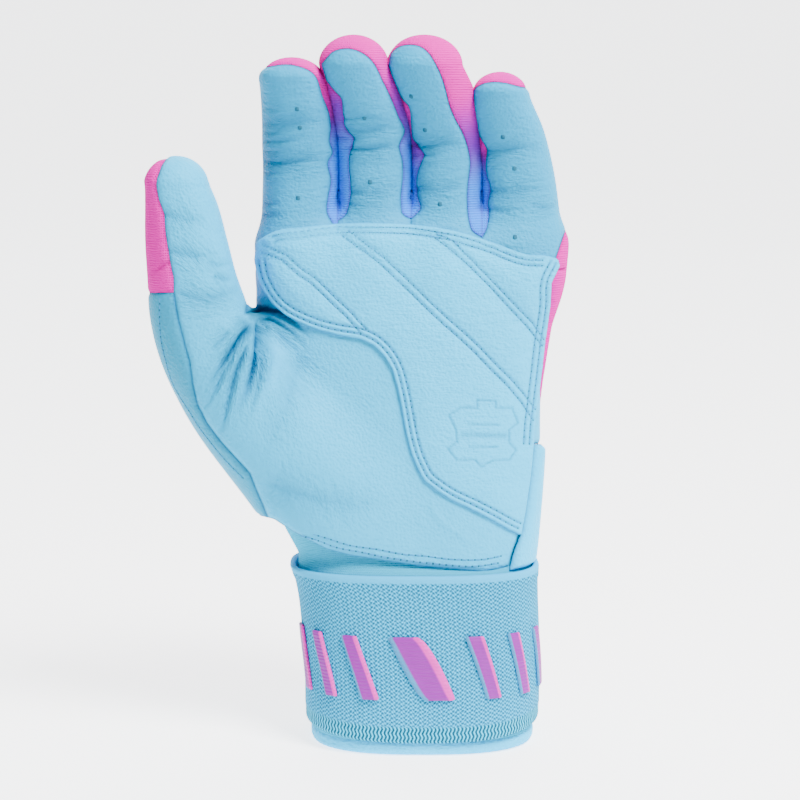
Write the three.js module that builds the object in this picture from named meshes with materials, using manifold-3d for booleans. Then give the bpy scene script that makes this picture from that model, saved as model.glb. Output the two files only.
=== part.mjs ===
// Batting glove for the left hand, open and relaxed, palm towards -Y, fingers up (+Z), thumb towards -X.
// Lengths are millimetres and angles are degrees. One form of the gloved hand is lofted through sections,
// made hollow, and cut into the panels that a glove maker sews together.
import * as THREE from "three";
import { mergeVertices } from "three/addons/utils/BufferGeometryUtils.js";
import Module from "manifold-3d";

const wasm = await Module();
wasm.setup();

// Driving sizes of the gloved hand.
const palmWidth = 96; // across the knuckles
const knuckleHeight = 151; // crease at the finger roots, above the cuff's rim
const wristDepth = 54.4;
const indexTip = 217.5; // heights of the tips
const middleTip = 224;
const ringTip = 223.5;
const littleTip = 213;
const fingerWidth = 22;
const fingerDepth = 25.2; // palm side to nail side, at a finger's root
const thumbTip = 187.5;
const thumbReach = 68.2; // from the hand's middle line to the thumb's
const thumbForward = 15.3; // how far the thumb's tip stands in front of the palm's middle
const thumbWidth = 31.2;
const thumbDepth = 27.6;
const thumbJointHeight = 141;

// Sizes of the materials and fits.
const skinWall = 1.2; // leather or knit panel
const seamGap = 0.3; // clearance between two panels that meet
const facetTolerance = 0.02; // faces flatter than this are merged
const patchWall = 1.1; // sewn-on leather patch
const cutOverrun = 60; // how far every cutting prism runs past the form
const sectionPower = 2.3; // roundness of a finger section: 2 is an ellipse
const palmPower = 2.7; // the palm and the wrist are squarer

// Roots of the fingers.
const webRise = 16; // from the knuckle crease to the top of the webs
const webRound = 11; // height over which the palm closes there
const webSlope = -0.055; // rise of the finger roots per mm towards the little finger
const rootDepth = 3; // how far the finger lofts start inside the palm
const fingerRoot = knuckleHeight - rootDepth;
const webTop = knuckleHeight + webRise;

// The four fingers bend forward together by this much at full height.
const curlOnset = 9; // above the knuckle crease
const curlRise = 64;
const curlDepth = 17;
const curlPower = 2.2;
const curlStart = knuckleHeight + curlOnset;
const curl = (z) => -curlDepth * Math.pow(Math.max(0, (z - curlStart) / curlRise), curlPower);

// Each finger: centres at its root, middle joint and tip as shares of the palm's width, half widths there as
// shares of the finger width, and the middle joint's height as a share of the finger's length.
const fingerShares = {
  index: [-0.331, -0.332, -0.353, 0.523, 0.495, 0.409, 0.489],
  middle: [-0.079, -0.078, -0.149, 0.518, 0.441, 0.436, 0.534],
  ring: [0.152, 0.152, 0.082, 0.500, 0.459, 0.464, 0.483],
  little: [0.404, 0.392, 0.319, 0.555, 0.464, 0.364, 0.435],
};
const bendDepthShare = 0.889; // of the depth at the root
const tipDepthShare = 0.746;
const tipRound = 9; // height of the rounded fingertip
const gussetHalf = 3.6; // half width of the fabric band between two fingers
function fingerSizes([rootX, bendX, tipX, rootHalf, bendHalf, tipHalf, bend], tip) {
  return {
    rootX: rootX * palmWidth,
    bendX: bendX * palmWidth,
    tipX: tipX * palmWidth,
    rootHalf: rootHalf * fingerWidth,
    bendHalf: bendHalf * fingerWidth,
    tipHalf: tipHalf * fingerWidth,
    bend: knuckleHeight + bend * (tip - knuckleHeight),
    tip,
  };
}
const fingers = {
  index: fingerSizes(fingerShares.index, indexTip),
  middle: fingerSizes(fingerShares.middle, middleTip),
  ring: fingerSizes(fingerShares.ring, ringTip),
  little: fingerSizes(fingerShares.little, littleTip),
};

// Palm and wrist sections: height as a share of the knuckle height, centre and half width as shares of the
// palm's width, and half depth as a share of the wrist's depth.
const palmShares = [
  [0, 0.075, 0.371, 0.5],
  [0.199, 0.072, 0.374, 0.471],
  [0.377, 0.048, 0.392, 0.434],
  [0.477, 0.017, 0.438, 0.401],
  [0.629, -0.004, 0.473, 0.357],
  [0.795, 0, 0.483, 0.32],
  [0.927, 0.016, 0.496, 0.292],
  [1.007, 0.029, 0.5, 0.276],
];
const palmSections = palmShares.map(([z, x, halfWidth, halfDepth]) => ({
  z: z * knuckleHeight,
  x: x * palmWidth,
  halfWidth: halfWidth * palmWidth,
  halfDepth: halfDepth * wristDepth,
}));

// Thumb and the ball of the thumb, from the heel of the hand to the tip: height, centre across, centre
// forward, half width and half depth as shares of the thumb's own sizes.
const thumbShares = [
  [0.341, -0.176, -0.065, 0.705, 0.616],
  [0.427, -0.352, -0.163, 0.801, 0.707],
  [0.533, -0.587, -0.327, 0.785, 0.707],
  [0.64, -0.792, -0.523, 0.641, 0.609],
  [0.736, -0.915, -0.719, 0.5, 0.5],
  [0.8, -0.947, -0.817, 0.436, 0.449],
  [0.875, -0.977, -0.915, 0.391, 0.428],
  [0.939, -1, -1, 0.333, 0.384],
];
const thumbSections = thumbShares.map(([z, x, y, halfWidth, halfDepth]) => ({
  z: z * thumbTip,
  x: x * thumbReach,
  y: y * thumbForward,
  halfWidth: halfWidth * thumbWidth,
  halfDepth: halfDepth * thumbDepth,
}));
const thumbCutShare = -0.496; // the thumb above its joint lies left of this share of the palm's width
const thumbCutX = thumbCutShare * palmWidth;

// Wrist cuff, strap and closure.
const rimHeight = 4.7;
const rimBevel = 0.9;
const cuffWall = 2.4;
const cuffTuck = 12; // how far the cuff runs up inside the leather
const strapBottom = 5.4;
const strapTop = 56.4;
const strapWall = 1.9;
const strapEase = 0.45; // clearance between the strap and the cuff
const strapSag = 2.6; // the strap's lower edge hangs lower on the palm side
const strapStartAngle = 168; // angles round the wrist: 0 is the palm side, 90 the little-finger side
const strapEndAngle = -120;
const flapEndAngle = -187;
const tabEndAngle = -236;
const pileWall = 0.8; // hook or loop pile
const pileMargin = 5; // from the strap's upper and lower edges
const pileMarginAngle = 5;
const loopAngle = 50; // of loop pile, for a choice of fits
const tabWall = 1.6;
const pullAngle = 7; // of the grip strip at the tab's end
const pullRibCount = 5;
const pullMarginAngle = 1;
const pullRibRise = 0.7;
const slashCount = 7;
const slashPitchAngle = 24; // between two raised slashes
const slashWidthAngle = 9.5;
const slashLeanAngle = -9.5; // from its lower to its upper end
const slashBottom = 19;
const slashTop = 38;
const slashWall = 0.7;

const skyBlue = 0x8ccfe8;
const paleBlue = 0x9edaee;
const sideBlue = 0x6bc1de;
const strapBlue = 0x5ed3ea;
const pink = 0xfe77d5;
const violet = 0xbe65c4;
const blueViolet = 0x3f6fe0;

const leather = () => new THREE.MeshStandardMaterial({ color: skyBlue, roughness: 0.55, metalness: 0 });
const patchLeather = () => new THREE.MeshStandardMaterial({ color: paleBlue, roughness: 0.5, metalness: 0 });
const sideLeather = () => new THREE.MeshStandardMaterial({ color: sideBlue, roughness: 0.6, metalness: 0 });
const backFabric = () => new THREE.MeshStandardMaterial({ color: pink, roughness: 0.8, metalness: 0 });
const gussetFabric = () =>
  new THREE.MeshStandardMaterial({ color: blueViolet, roughness: 0.85, metalness: 0 });
const elastic = () => new THREE.MeshStandardMaterial({ color: strapBlue, roughness: 0.9, metalness: 0 });
const moulded = () => new THREE.MeshStandardMaterial({ color: violet, roughness: 0.4, metalness: 0 });

const glove = new THREE.Group();

// A closed BufferGeometry as a solid that can be cut and joined.
function toSolid(geometry) {
  const bare = new THREE.BufferGeometry().setAttribute("position", geometry.getAttribute("position"));
  if (geometry.index) bare.setIndex(geometry.index);
  const merged = mergeVertices(bare, 1e-4);
  return new wasm.Manifold(
    new wasm.Mesh({
      numProp: 3,
      vertProperties: new Float32Array(merged.attributes.position.array),
      triVerts: new Uint32Array(merged.index.array),
    }),
  );
}

// The largest body of a solid as a BufferGeometry, without the slivers that a cut can leave.
function toGeometry(solid) {
  const bodies = solid.decompose();
  bodies.sort((a, b) => b.volume() - a.volume());
  const mesh = bodies[0].simplify(facetTolerance).getMesh();
  const positions = new Float32Array(mesh.numVert * 3);
  for (let i = 0; i < mesh.numVert; i++) {
    positions.set(mesh.vertProperties.subarray(i * mesh.numProp, i * mesh.numProp + 3), i * 3);
  }
  return new THREE.BufferGeometry()
    .setAttribute("position", new THREE.BufferAttribute(positions, 3))
    .setIndex(new THREE.BufferAttribute(mesh.triVerts, 1));
}

function addPanel(name, solid, material) {
  const mesh = new THREE.Mesh(toGeometry(solid), material);
  mesh.name = name;
  glove.add(mesh);
}

function addMesh(name, geometry, material) {
  const mesh = new THREE.Mesh(geometry, material);
  mesh.name = name;
  glove.add(mesh);
}

// Point of a superellipse section; angle 0 faces the palm side (-Y) and 90 the little finger (+X).
function sectionPoint(section, angle, power, offset) {
  const turn = THREE.MathUtils.degToRad(angle);
  const rounded = (v) => Math.sign(v) * Math.pow(Math.abs(v), 2 / power);
  return new THREE.Vector3(
    section.x + (section.halfWidth + offset) * rounded(Math.sin(turn)),
    section.y - (section.halfDepth + offset) * rounded(Math.cos(turn)),
    section.z,
  );
}

// Smooth curve through the sections' values, as a function of height.
function smoothSections(sections) {
  return (z) => {
    const last = sections.length - 1;
    let i = 0;
    while (i < last - 1 && z > sections[i + 1].z) i++;
    const at = (k) => sections[Math.min(last, Math.max(0, k))];
    const t = (z - at(i).z) / (at(i + 1).z - at(i).z);
    const blend = (key) => {
      const p = [at(i - 1), at(i), at(i + 1), at(i + 2)].map((s) => s[key] ?? 0);
      const turn = (p[2] - p[0]) * t + (2 * p[0] - 5 * p[1] + 4 * p[2] - p[3]) * t * t;
      return p[1] + (turn + (3 * p[1] - p[0] - 3 * p[2] + p[3]) * t * t * t) / 2;
    };
    return { z, x: blend("x"), y: blend("y"), halfWidth: blend("halfWidth"), halfDepth: blend("halfDepth") };
  };
}

// Closed loft through rings of points, lowest ring first, with flat ends.
function loft(rings) {
  const sides = rings[0].length;
  const positions = rings.flat();
  const faces = [];
  rings.slice(1).forEach((_, k) => {
    for (let i = 0; i < sides; i++) {
      const a = k * sides + i;
      const b = k * sides + ((i + 1) % sides);
      faces.push(a, b, b + sides, a, b + sides, a + sides);
    }
  });
  const centre = (ring) => ring.reduce((sum, p) => sum.add(p), new THREE.Vector3()).divideScalar(sides);
  const bottom = positions.push(centre(rings[0])) - 1;
  const top = positions.push(centre(rings.at(-1))) - 1;
  const lastRing = (rings.length - 1) * sides;
  for (let i = 0; i < sides; i++) {
    const next = (i + 1) % sides;
    faces.push(bottom, next, i, top, lastRing + i, lastRing + next);
  }
  const geometry = new THREE.BufferGeometry().setFromPoints(positions);
  geometry.setIndex(faces);
  return toSolid(geometry);
}

// Lofted body from one height to another, closed by a rounded end of the given height.
function bodyLoft(sectionAt, from, to, round, offset, { sides, steps, caps, power, slope = 0 }) {
  const heights = [];
  for (let i = 0; i <= steps; i++) heights.push({ z: from + ((to - round - from) * i) / steps, shrink: 1 });
  for (let i = 1; i <= caps; i++) {
    const turn = ((i - 0.25) / caps) * (Math.PI / 2);
    heights.push({ z: to - round + (round + offset) * Math.sin(turn), shrink: Math.cos(turn) });
  }
  return loft(
    heights.map(({ z, shrink }) => {
      const section = sectionAt(z);
      const ring = [];
      for (let i = 0; i < sides; i++) {
        const p = sectionPoint(section, (360 * i) / sides, power, offset);
        const x = section.x + (p.x - section.x) * shrink;
        ring.push(new THREE.Vector3(x, section.y + (p.y - section.y) * shrink, z + slope * (x - section.x)));
      }
      return ring;
    }),
  );
}

const palmAt = smoothSections(palmSections);
const thumbAt = smoothSections(thumbSections);

function fingerAt({ rootX, bendX, tipX, rootHalf, bendHalf, tipHalf, bend, tip }) {
  const smooth = smoothSections([
    { z: fingerRoot, x: rootX, halfWidth: rootHalf, halfDepth: fingerDepth / 2 },
    { z: bend, x: bendX, halfWidth: bendHalf, halfDepth: (bendDepthShare * fingerDepth) / 2 },
    { z: tip - tipRound, x: tipX, halfWidth: tipHalf, halfDepth: (tipDepthShare * fingerDepth) / 2 },
    { z: tip, x: tipX, halfWidth: tipHalf, halfDepth: (tipDepthShare * fingerDepth) / 2 },
  ]);
  return (z) => ({ ...smooth(z), y: curl(z) });
}

const fingerLook = { sides: 16, steps: 7, caps: 3, power: sectionPower };
const thumbLook = { sides: 20, steps: 9, caps: 3, power: sectionPower };
const palmLook = { sides: 32, steps: 10, caps: 3, power: palmPower, slope: webSlope };
const palmTop = (z) => palmAt(Math.min(z, palmSections.at(-1).z));

// The whole gloved hand at an offset from its outer skin, starting at a height.
function handForm(offset, from) {
  const palm = bodyLoft((z) => ({ ...palmTop(z), z }), from, webTop, webRound, offset, palmLook);
  const thumb = bodyLoft(thumbAt, thumbSections[0].z, thumbTip, tipRound, offset, thumbLook);
  return Object.values(fingers).reduce(
    (form, finger) =>
      form.add(bodyLoft(fingerAt(finger), fingerRoot, finger.tip, tipRound, offset, fingerLook)),
    palm.add(thumb),
  );
}

// Layer of the form between two offsets, outer first.
const layer = (outer, inner) => handForm(outer, 0).subtract(handForm(inner, -cutOverrun));

// A prism from an outline: its points are (x, z), (y, z) or (x, y), and it runs along the third axis.
function prism(points, axis, from, to) {
  const shape = new THREE.Shape(points.map(([a, b]) => new THREE.Vector2(a, b)));
  const geometry = new THREE.ExtrudeGeometry(shape, { depth: to - from, bevelEnabled: false });
  geometry.translate(0, 0, from);
  if (axis === "y") geometry.rotateX(Math.PI / 2).scale(1, -1, 1);
  if (axis === "x") geometry.rotateX(Math.PI / 2).rotateZ(Math.PI / 2);
  const solid = toSolid(axis === "y" ? flip(geometry) : geometry);
  return solid;
}

// Turns every face round, after a mirroring scale.
function flip(geometry) {
  const flat = geometry.index ? geometry.toNonIndexed() : geometry;
  const p = flat.attributes.position;
  for (let i = 0; i < p.count; i += 3) {
    const keep = new THREE.Vector3().fromBufferAttribute(p, i + 1);
    p.setXYZ(i + 1, p.getX(i + 2), p.getY(i + 2), p.getZ(i + 2));
    p.setXYZ(i + 2, keep.x, keep.y, keep.z);
  }
  return flat;
}

function box(x0, x1, y0, y1, z0, z1) {
  const geometry = new THREE.BoxGeometry(x1 - x0, y1 - y0, z1 - z0);
  geometry.translate((x0 + x1) / 2, (y0 + y1) / 2, (z0 + z1) / 2);
  return toSolid(geometry);
}

const farWidth = palmWidth + cutOverrun;
const farHeight = middleTip + cutOverrun;
const halfSeam = seamGap / 2;

// Slab of space between two heights.
const slab = (from, to) => box(-farWidth, farWidth, -farWidth, farWidth, from, to);

const seamSteps = 20;

// Space in front of or behind the surface that the finger seams follow, shifted by a distance in y.
function seamSide(side, shift) {
  const points = [];
  for (let i = 0; i <= seamSteps; i++) {
    const z = THREE.MathUtils.lerp(fingerRoot, middleTip, i / seamSteps);
    points.push([curl(z) + shift, z]);
  }
  points.push([curl(middleTip) + shift, farHeight]);
  const far = side * farWidth;
  points.push([far, farHeight], [far, -cutOverrun], [shift, -cutOverrun]);
  return prism(points, "x", -farWidth, farWidth);
}

// Space between two finger centre lines, from the first finger to the second.
function betweenFingers(first, second) {
  const left = [
    [first.rootX, fingerRoot - cutOverrun],
    [first.rootX, fingerRoot],
    [first.bendX, first.bend],
    [first.tipX, first.tip],
    [first.tipX, farHeight],
  ];
  const right = [
    [second.tipX, farHeight],
    [second.tipX, second.tip],
    [second.bendX, second.bend],
    [second.rootX, fingerRoot],
    [second.rootX, fingerRoot - cutOverrun],
  ];
  return prism([...left, ...right].reverse(), "y", -farWidth, farWidth);
}

const { index, middle, ring, little } = fingers;
const leftOut = { rootX: -farWidth, bendX: -farWidth, tipX: -farWidth, bend: index.bend, tip: index.tip };
const rightOut = { rootX: farWidth, bendX: farWidth, tipX: farWidth, bend: little.bend, tip: little.tip };
const gaps = {
  index_middle: betweenFingers(index, middle),
  middle_ring: betweenFingers(middle, ring),
  ring_little: betweenFingers(ring, little),
};
const outsides = betweenFingers(leftOut, index).add(betweenFingers(little, rightOut));

// Above the knuckles: leather in front, fabric behind, and a gusset band between neighbouring fingers.
const frontAbove = seamSide(-1, -gussetHalf).add(seamSide(-1, -halfSeam).intersect(outsides));
const backAbove = seamSide(1, gussetHalf).add(seamSide(1, halfSeam).intersect(outsides));
const gussetBand = seamSide(1, seamGap - gussetHalf).intersect(seamSide(-1, gussetHalf - seamGap));

// Below the knuckles: the side seam runs forward on the thumb's ball.
const seamForward = 1;
const thumbSeamForward = 14;
const thumbSeamShare = -0.4375; // of the palm's width, where the seam turns forward
const sideSeamY = -seamForward;
const thumbSeamX = thumbSeamShare * palmWidth;
const thumbSeamY = -thumbSeamForward;
const sideSeam = (shift) => [
  [farWidth, sideSeamY + shift],
  [thumbSeamX, sideSeamY + shift],
  [thumbAt(thumbJointHeight).x - cutOverrun, thumbSeamY + shift],
];
const frontBelow = prism(
  [
    [-farWidth, -farWidth], [farWidth, -farWidth],
    ...sideSeam(-halfSeam), [-farWidth, thumbSeamY - halfSeam],
  ],
  "z",
  -cutOverrun,
  farHeight,
);
const backBelow = prism(
  [
    [-farWidth, thumbSeamY + halfSeam], ...sideSeam(halfSeam).reverse(),
    [farWidth, farWidth], [-farWidth, farWidth],
  ],
  "z",
  -cutOverrun,
  farHeight,
);

// Lower edge of the leather across the heel of the hand, left to right, as shares of the palm's width and of
// the knuckle height.
const hemShares = [
  [-0.427, 0.474],
  [-0.323, 0.444],
  [-0.240, 0.426],
  [-0.058, 0.406],
  [0.167, 0.390],
  [0.333, 0.384],
];
const onPalm = (shares) => shares.map(([x, z]) => [x * palmWidth, z * knuckleHeight]);
const hemLine = onPalm(hemShares);
const hem = [[-farWidth, hemLine[0][1]], ...hemLine, [farWidth, hemLine.at(-1)[1]]];
const aboveHem = (shift, top) =>
  prism(
    [...hem.map(([x, z]) => [x, z + shift]), [farWidth, top], [-farWidth, top]],
    "y", -farWidth, farWidth,
  );
const belowHem = (shift, bottom) =>
  prism(
    [[-farWidth, bottom], [farWidth, bottom], ...hem.map(([x, z]) => [x, z + shift]).reverse()],
    "y",
    -farWidth,
    farWidth,
  );

const skin = layer(0, -skinWall);
const thumbSpace = box(
  -farWidth, thumbCutX, -farWidth, farWidth, thumbJointHeight + halfSeam, farHeight,
);
const thumbKeepOut = box(
  -farWidth, thumbCutX, -farWidth, farWidth, thumbJointHeight - halfSeam, farHeight,
);

// Palm body, below the knuckles.
const belowKnuckles = slab(-cutOverrun, knuckleHeight - halfSeam).subtract(thumbKeepOut);
const palmSkin = skin.intersect(belowKnuckles);
const handSkin = palmSkin.intersect(aboveHem(halfSeam, farHeight));
addPanel("palm_leather", handSkin.intersect(frontBelow), leather());
addPanel("hand_back", handSkin.intersect(backBelow), backFabric());

// Reinforcing patch on the palm from its top left round to the right, as shares like the hem's.
const patchShares = [
  [-0.469, 1.060],
  [-0.481, 1.020],
  [-0.464, 0.983],
  [-0.417, 0.947],
  [-0.333, 0.914],
  [-0.208, 0.887],
  [-0.094, 0.874],
  [-0.042, 0.841],
  [-0.017, 0.788],
  [0.006, 0.715],
  [0.044, 0.636],
  [0.083, 0.589],
  [0.177, 0.540],
  [0.396, 0.470],
  [0.421, 0.503],
  [0.442, 0.596],
  [0.446, 0.689],
  [0.458, 0.795],
  [0.483, 0.914],
  [0.498, 0.993],
  [0.521, 1.046],
  [0.354, 1.064],
  [0.208, 1.079],
  [0.052, 1.090],
  [-0.125, 1.095],
  [-0.312, 1.093],
  [-0.417, 1.082],
];
const patchPrism = prism(onPalm(patchShares), "y", -farWidth, sideSeamY - patchWall);
const patch = layer(seamGap + patchWall, seamGap).intersect(patchPrism);
addPanel("palm_patch", patch.intersect(belowKnuckles).intersect(frontBelow), patchLeather());

// Side patch over the thumb's joint, where the bat rubs: its inner edge from the bottom up, as shares of the
// thumb's reach and of its joint's height.
const sidePatchShares = [
  [-0.770, 0.596],
  [-0.850, 0.656],
  [-0.909, 0.709],
  [-0.960, 0.794],
  [-0.997, 0.865],
  [-1.026, 0.936],
];
const sidePatchTopShare = -1.041; // of the thumb's reach
const sidePatchLine = sidePatchShares.map(([x, z]) => [x * thumbReach, z * thumbJointHeight]);
const sidePatchOutline = [
  [-farWidth, thumbJointHeight - seamGap],
  [-farWidth, sidePatchLine[0][1]],
  ...sidePatchLine,
  [sidePatchTopShare * thumbReach, thumbJointHeight - seamGap],
];
const sidePatchBackY = 6;
addPanel(
  "thumb_side_patch",
  layer(seamGap + patchWall, seamGap).intersect(
    prism(sidePatchOutline, "y", -farWidth, sidePatchBackY),
  ),
  sideLeather(),
);

// Binding along the slit at the little-finger side of the heel.
const bindingWidth = 3.4;
const bindingShares = [
  [0.423, 0.397],
  [0.433, 0.464],
  [0.450, 0.530],
  [0.458, 0.609],
];
const bindingLine = onPalm(bindingShares);
addPanel(
  "slit_binding",
  layer(seamGap + patchWall, seamGap).intersect(
    prism(
      [...bindingLine, ...bindingLine.map(([x, z]) => [x + bindingWidth, z]).reverse()].reverse(),
      "y",
      -farWidth,
      farWidth,
    ).intersect(frontBelow),
  ),
  patchLeather(),
);

// Knuckle body: the lower halves of the four fingers and the roots that join them.
const knuckleSlab = slab(knuckleHeight + halfSeam, farHeight).subtract(thumbSpace);
// Each finger's own solid space, used to tell the fingers apart above their joints.
const fingerSpace = (finger, from) =>
  bodyLoft(fingerAt(finger), from, finger.tip, tipRound, seamGap + patchWall, fingerLook);
const upperFingers = Object.values(fingers).map((finger) =>
  fingerSpace(finger, fingerRoot).intersect(slab(finger.bend + halfSeam, farHeight)),
);
const lowerFingers = Object.values(fingers).map((finger) =>
  fingerSpace(finger, fingerRoot).intersect(slab(finger.bend - halfSeam, farHeight)),
);
const knuckleSkin = lowerFingers.reduce(
  (rest, finger) => rest.subtract(finger),
  skin.intersect(knuckleSlab),
);
addPanel("knuckle_leather", knuckleSkin.intersect(frontAbove), leather());
addPanel("knuckle_back", knuckleSkin.intersect(backAbove), backFabric());
Object.entries(gaps).forEach(([name, gap]) =>
  addPanel(`gusset_${name}`, knuckleSkin.intersect(gussetBand).intersect(gap), gussetFabric()),
);
const patchTop = patch.intersect(knuckleSlab).intersect(seamSide(-1, -gussetHalf));
addPanel("palm_patch_top", patchTop, patchLeather());

// Finger bodies: the halves beyond each middle joint.
const neighbours = {
  index: [["right", "index_middle"]],
  middle: [["left", "index_middle"], ["right", "middle_ring"]],
  ring: [["left", "middle_ring"], ["right", "ring_little"]],
  little: [["left", "ring_little"]],
};
Object.keys(fingers).forEach((name, i) => {
  const fingerSkin = skin.intersect(upperFingers[i]);
  addPanel(`${name}_leather`, fingerSkin.intersect(frontAbove), leather());
  addPanel(`${name}_back`, fingerSkin.intersect(backAbove), backFabric());
  neighbours[name].forEach(([side, gap]) =>
    addPanel(
      `${name}_gusset_${side}`,
      fingerSkin.intersect(gussetBand).intersect(gaps[gap]),
      gussetFabric(),
    ),
  );
});

// Thumb body: leather on the pad, fabric on the nail side.
const thumbSkin = skin.intersect(thumbSpace);
const thumbSeamTurn = 30;
function thumbHalf(side) {
  const low = thumbAt(thumbJointHeight);
  const geometry = new THREE.BoxGeometry(farWidth, farWidth, farHeight);
  geometry.translate(0, (side * (farWidth + seamGap)) / 2, 0);
  geometry.rotateZ(THREE.MathUtils.degToRad(thumbSeamTurn));
  geometry.translate(low.x, low.y, farHeight / 2);
  return toSolid(geometry);
}
addPanel("thumb_leather", thumbSkin.intersect(thumbHalf(-1)), leather());
addPanel("thumb_back", thumbSkin.intersect(thumbHalf(1)), backFabric());

// Cuff: a padded tube below the hem that tucks up inside the leather.
const cuffLower = layer(0, -cuffWall - skinWall)
  .intersect(slab(rimHeight + seamGap, farHeight))
  .intersect(belowHem(-halfSeam, -cutOverrun));
const cuffUpper = layer(-skinWall - seamGap, -cuffWall - skinWall)
  .intersect(belowHem(cuffTuck, rimHeight + seamGap))
  .intersect(box(-farWidth, farWidth, -farWidth, farWidth, rimHeight + seamGap, farHeight));
addPanel("wrist_cuff", cuffLower.add(cuffUpper), sideLeather());

// Rolled edge of the cuff, flat underneath.
const rimSections = [
  { z: 0, grow: -rimBevel },
  { z: rimBevel, grow: 0 },
  { z: rimHeight - rimBevel, grow: 0 },
  { z: rimHeight, grow: -rimBevel },
];
function rimForm(side, overrun) {
  const rings = rimSections.map(({ z, grow }, k) => {
    const points = [];
    const outer = side > 0 ? grow : -cuffWall - skinWall - grow;
    const run = k === 0 ? -overrun : k === rimSections.length - 1 ? overrun : 0;
    for (let i = 0; i < palmLook.sides; i++) {
      const p = sectionPoint(palmAt(z), (360 * i) / palmLook.sides, palmPower, outer);
      points.push(p.setZ(z + run));
    }
    return points;
  });
  return loft(rings);
}
addPanel("cuff_rim", rimForm(1, 0).subtract(rimForm(-1, rimHeight)), patchLeather());

// A curved slab whose surface is at(u, v, offset), u and v from 0 to 1, between two offsets.
function curvedSlab(at, uSteps, vSteps, inner, outer) {
  const positions = [];
  const row = vSteps + 1;
  [inner, outer].forEach((offset) => {
    for (let i = 0; i <= uSteps; i++) {
      for (let j = 0; j <= vSteps; j++) positions.push(at(i / uSteps, j / vSteps, offset));
    }
  });
  const top = (uSteps + 1) * row;
  const faces = [];
  const quad = (a, b, c, d) => faces.push(a, b, c, a, c, d);
  for (let i = 0; i < uSteps; i++) {
    for (let j = 0; j < vSteps; j++) {
      const a = i * row + j;
      quad(a, a + 1, a + row + 1, a + row);
      quad(top + a, top + a + row, top + a + row + 1, top + a + 1);
    }
    const low = i * row;
    quad(low, low + row, top + low + row, top + low);
    quad(low + vSteps, top + low + vSteps, top + low + row + vSteps, low + row + vSteps);
  }
  for (let j = 0; j < vSteps; j++) {
    quad(j, top + j, top + j + 1, j + 1);
    const end = uSteps * row + j;
    quad(end, end + 1, top + end + 1, top + end);
  }
  const geometry = new THREE.BufferGeometry().setFromPoints(positions);
  geometry.setIndex(faces);
  return geometry;
}

// Surface of the wrist between two angles and two heights. Lift adds to the offset along the way.
function wristBand(fromAngle, toAngle, fromZ, toZ, { sag = 0, lean = 0, lift = () => 0 } = {}) {
  return (u, v, offset) => {
    const z = fromZ + (toZ - fromZ) * v;
    const angle = fromAngle + (toAngle - fromAngle) * u + lean * (z - (fromZ + toZ) / 2);
    const facing = Math.max(0, Math.cos(THREE.MathUtils.degToRad(angle)));
    const p = sectionPoint(palmAt(z), angle, palmPower, offset + lift(angle));
    return p.setZ(z - sag * (1 - v) * facing * facing);
  };
}

const strapInner = strapEase;
const strapOuter = strapEase + strapWall;
const loopOuter = strapOuter + seamGap + pileWall;
const hookOuter = loopOuter + seamGap + pileWall;
const tabOuter = hookOuter + seamGap + tabWall;
const degreeStep = 5;
const stepsFor = (from, to) => Math.max(2, Math.round(Math.abs(to - from) / degreeStep));

addMesh(
  "wrist_strap",
  curvedSlab(
    wristBand(strapEndAngle, strapStartAngle, strapBottom + strapSag, strapTop, { sag: strapSag }),
    stepsFor(strapEndAngle, strapStartAngle), 5, strapInner, strapOuter,
  ),
  elastic(),
);
const loopEndAngle = strapStartAngle - pileMarginAngle;
addMesh(
  "loop_pile",
  curvedSlab(
    wristBand(loopEndAngle - loopAngle, loopEndAngle, strapBottom + strapSag + pileMargin, strapTop - pileMargin),
    10, 5, strapOuter + seamGap, loopOuter,
  ),
  elastic(),
);

// The strap's free end climbs from the cuff onto the piled layers.
const jointGapAngle = 0.6; // between two lengths of strap
const climbStartAngle = -164;
const climbEndAngle = -182;
const climb = (angle) => {
  const t = THREE.MathUtils.clamp((climbStartAngle - angle) / (climbStartAngle - climbEndAngle), 0, 1);
  return (hookOuter + seamGap - strapInner) * t * t * (3 - 2 * t);
};
addMesh(
  "strap_flap",
  curvedSlab(
    wristBand(
      flapEndAngle + jointGapAngle, strapEndAngle - jointGapAngle,
      strapBottom + strapSag, strapTop, { lift: climb },
    ),
    stepsFor(flapEndAngle, strapEndAngle), 5, strapInner, strapOuter,
  ),
  elastic(),
);
const tabTaper = 6;
addMesh(
  "hook_tab",
  curvedSlab(
    (u, v, offset) => {
      const narrow = tabTaper * (1 - u) * (1 - u);
      const band = wristBand(tabEndAngle, flapEndAngle, strapBottom + strapSag + narrow, strapTop - narrow);
      return band(u, v, offset);
    },
    stepsFor(tabEndAngle, flapEndAngle), 5, hookOuter + seamGap, tabOuter,
  ),
  sideLeather(),
);
addMesh(
  "hook_pile",
  curvedSlab(
    wristBand(
      tabEndAngle + pullAngle + pileMarginAngle, flapEndAngle - pileMarginAngle,
      strapBottom + strapSag + pileMargin, strapTop - pileMargin,
    ),
    8, 5, loopOuter + seamGap, hookOuter,
  ),
  moulded(),
);
const ribPitch = pullAngle / pullRibCount;
for (let i = 0; i < pullRibCount; i++) {
  const from = tabEndAngle + pullMarginAngle + i * ribPitch;
  addMesh(
    `pull_rib_${i + 1}`,
    curvedSlab(
      wristBand(
        from, from + ribPitch / 2,
        strapBottom + strapSag + tabTaper + pileMargin, strapTop - tabTaper - pileMargin,
      ),
      1, 2, tabOuter + seamGap, tabOuter + seamGap + pullRibRise,
    ),
    moulded(),
  );
}

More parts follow.
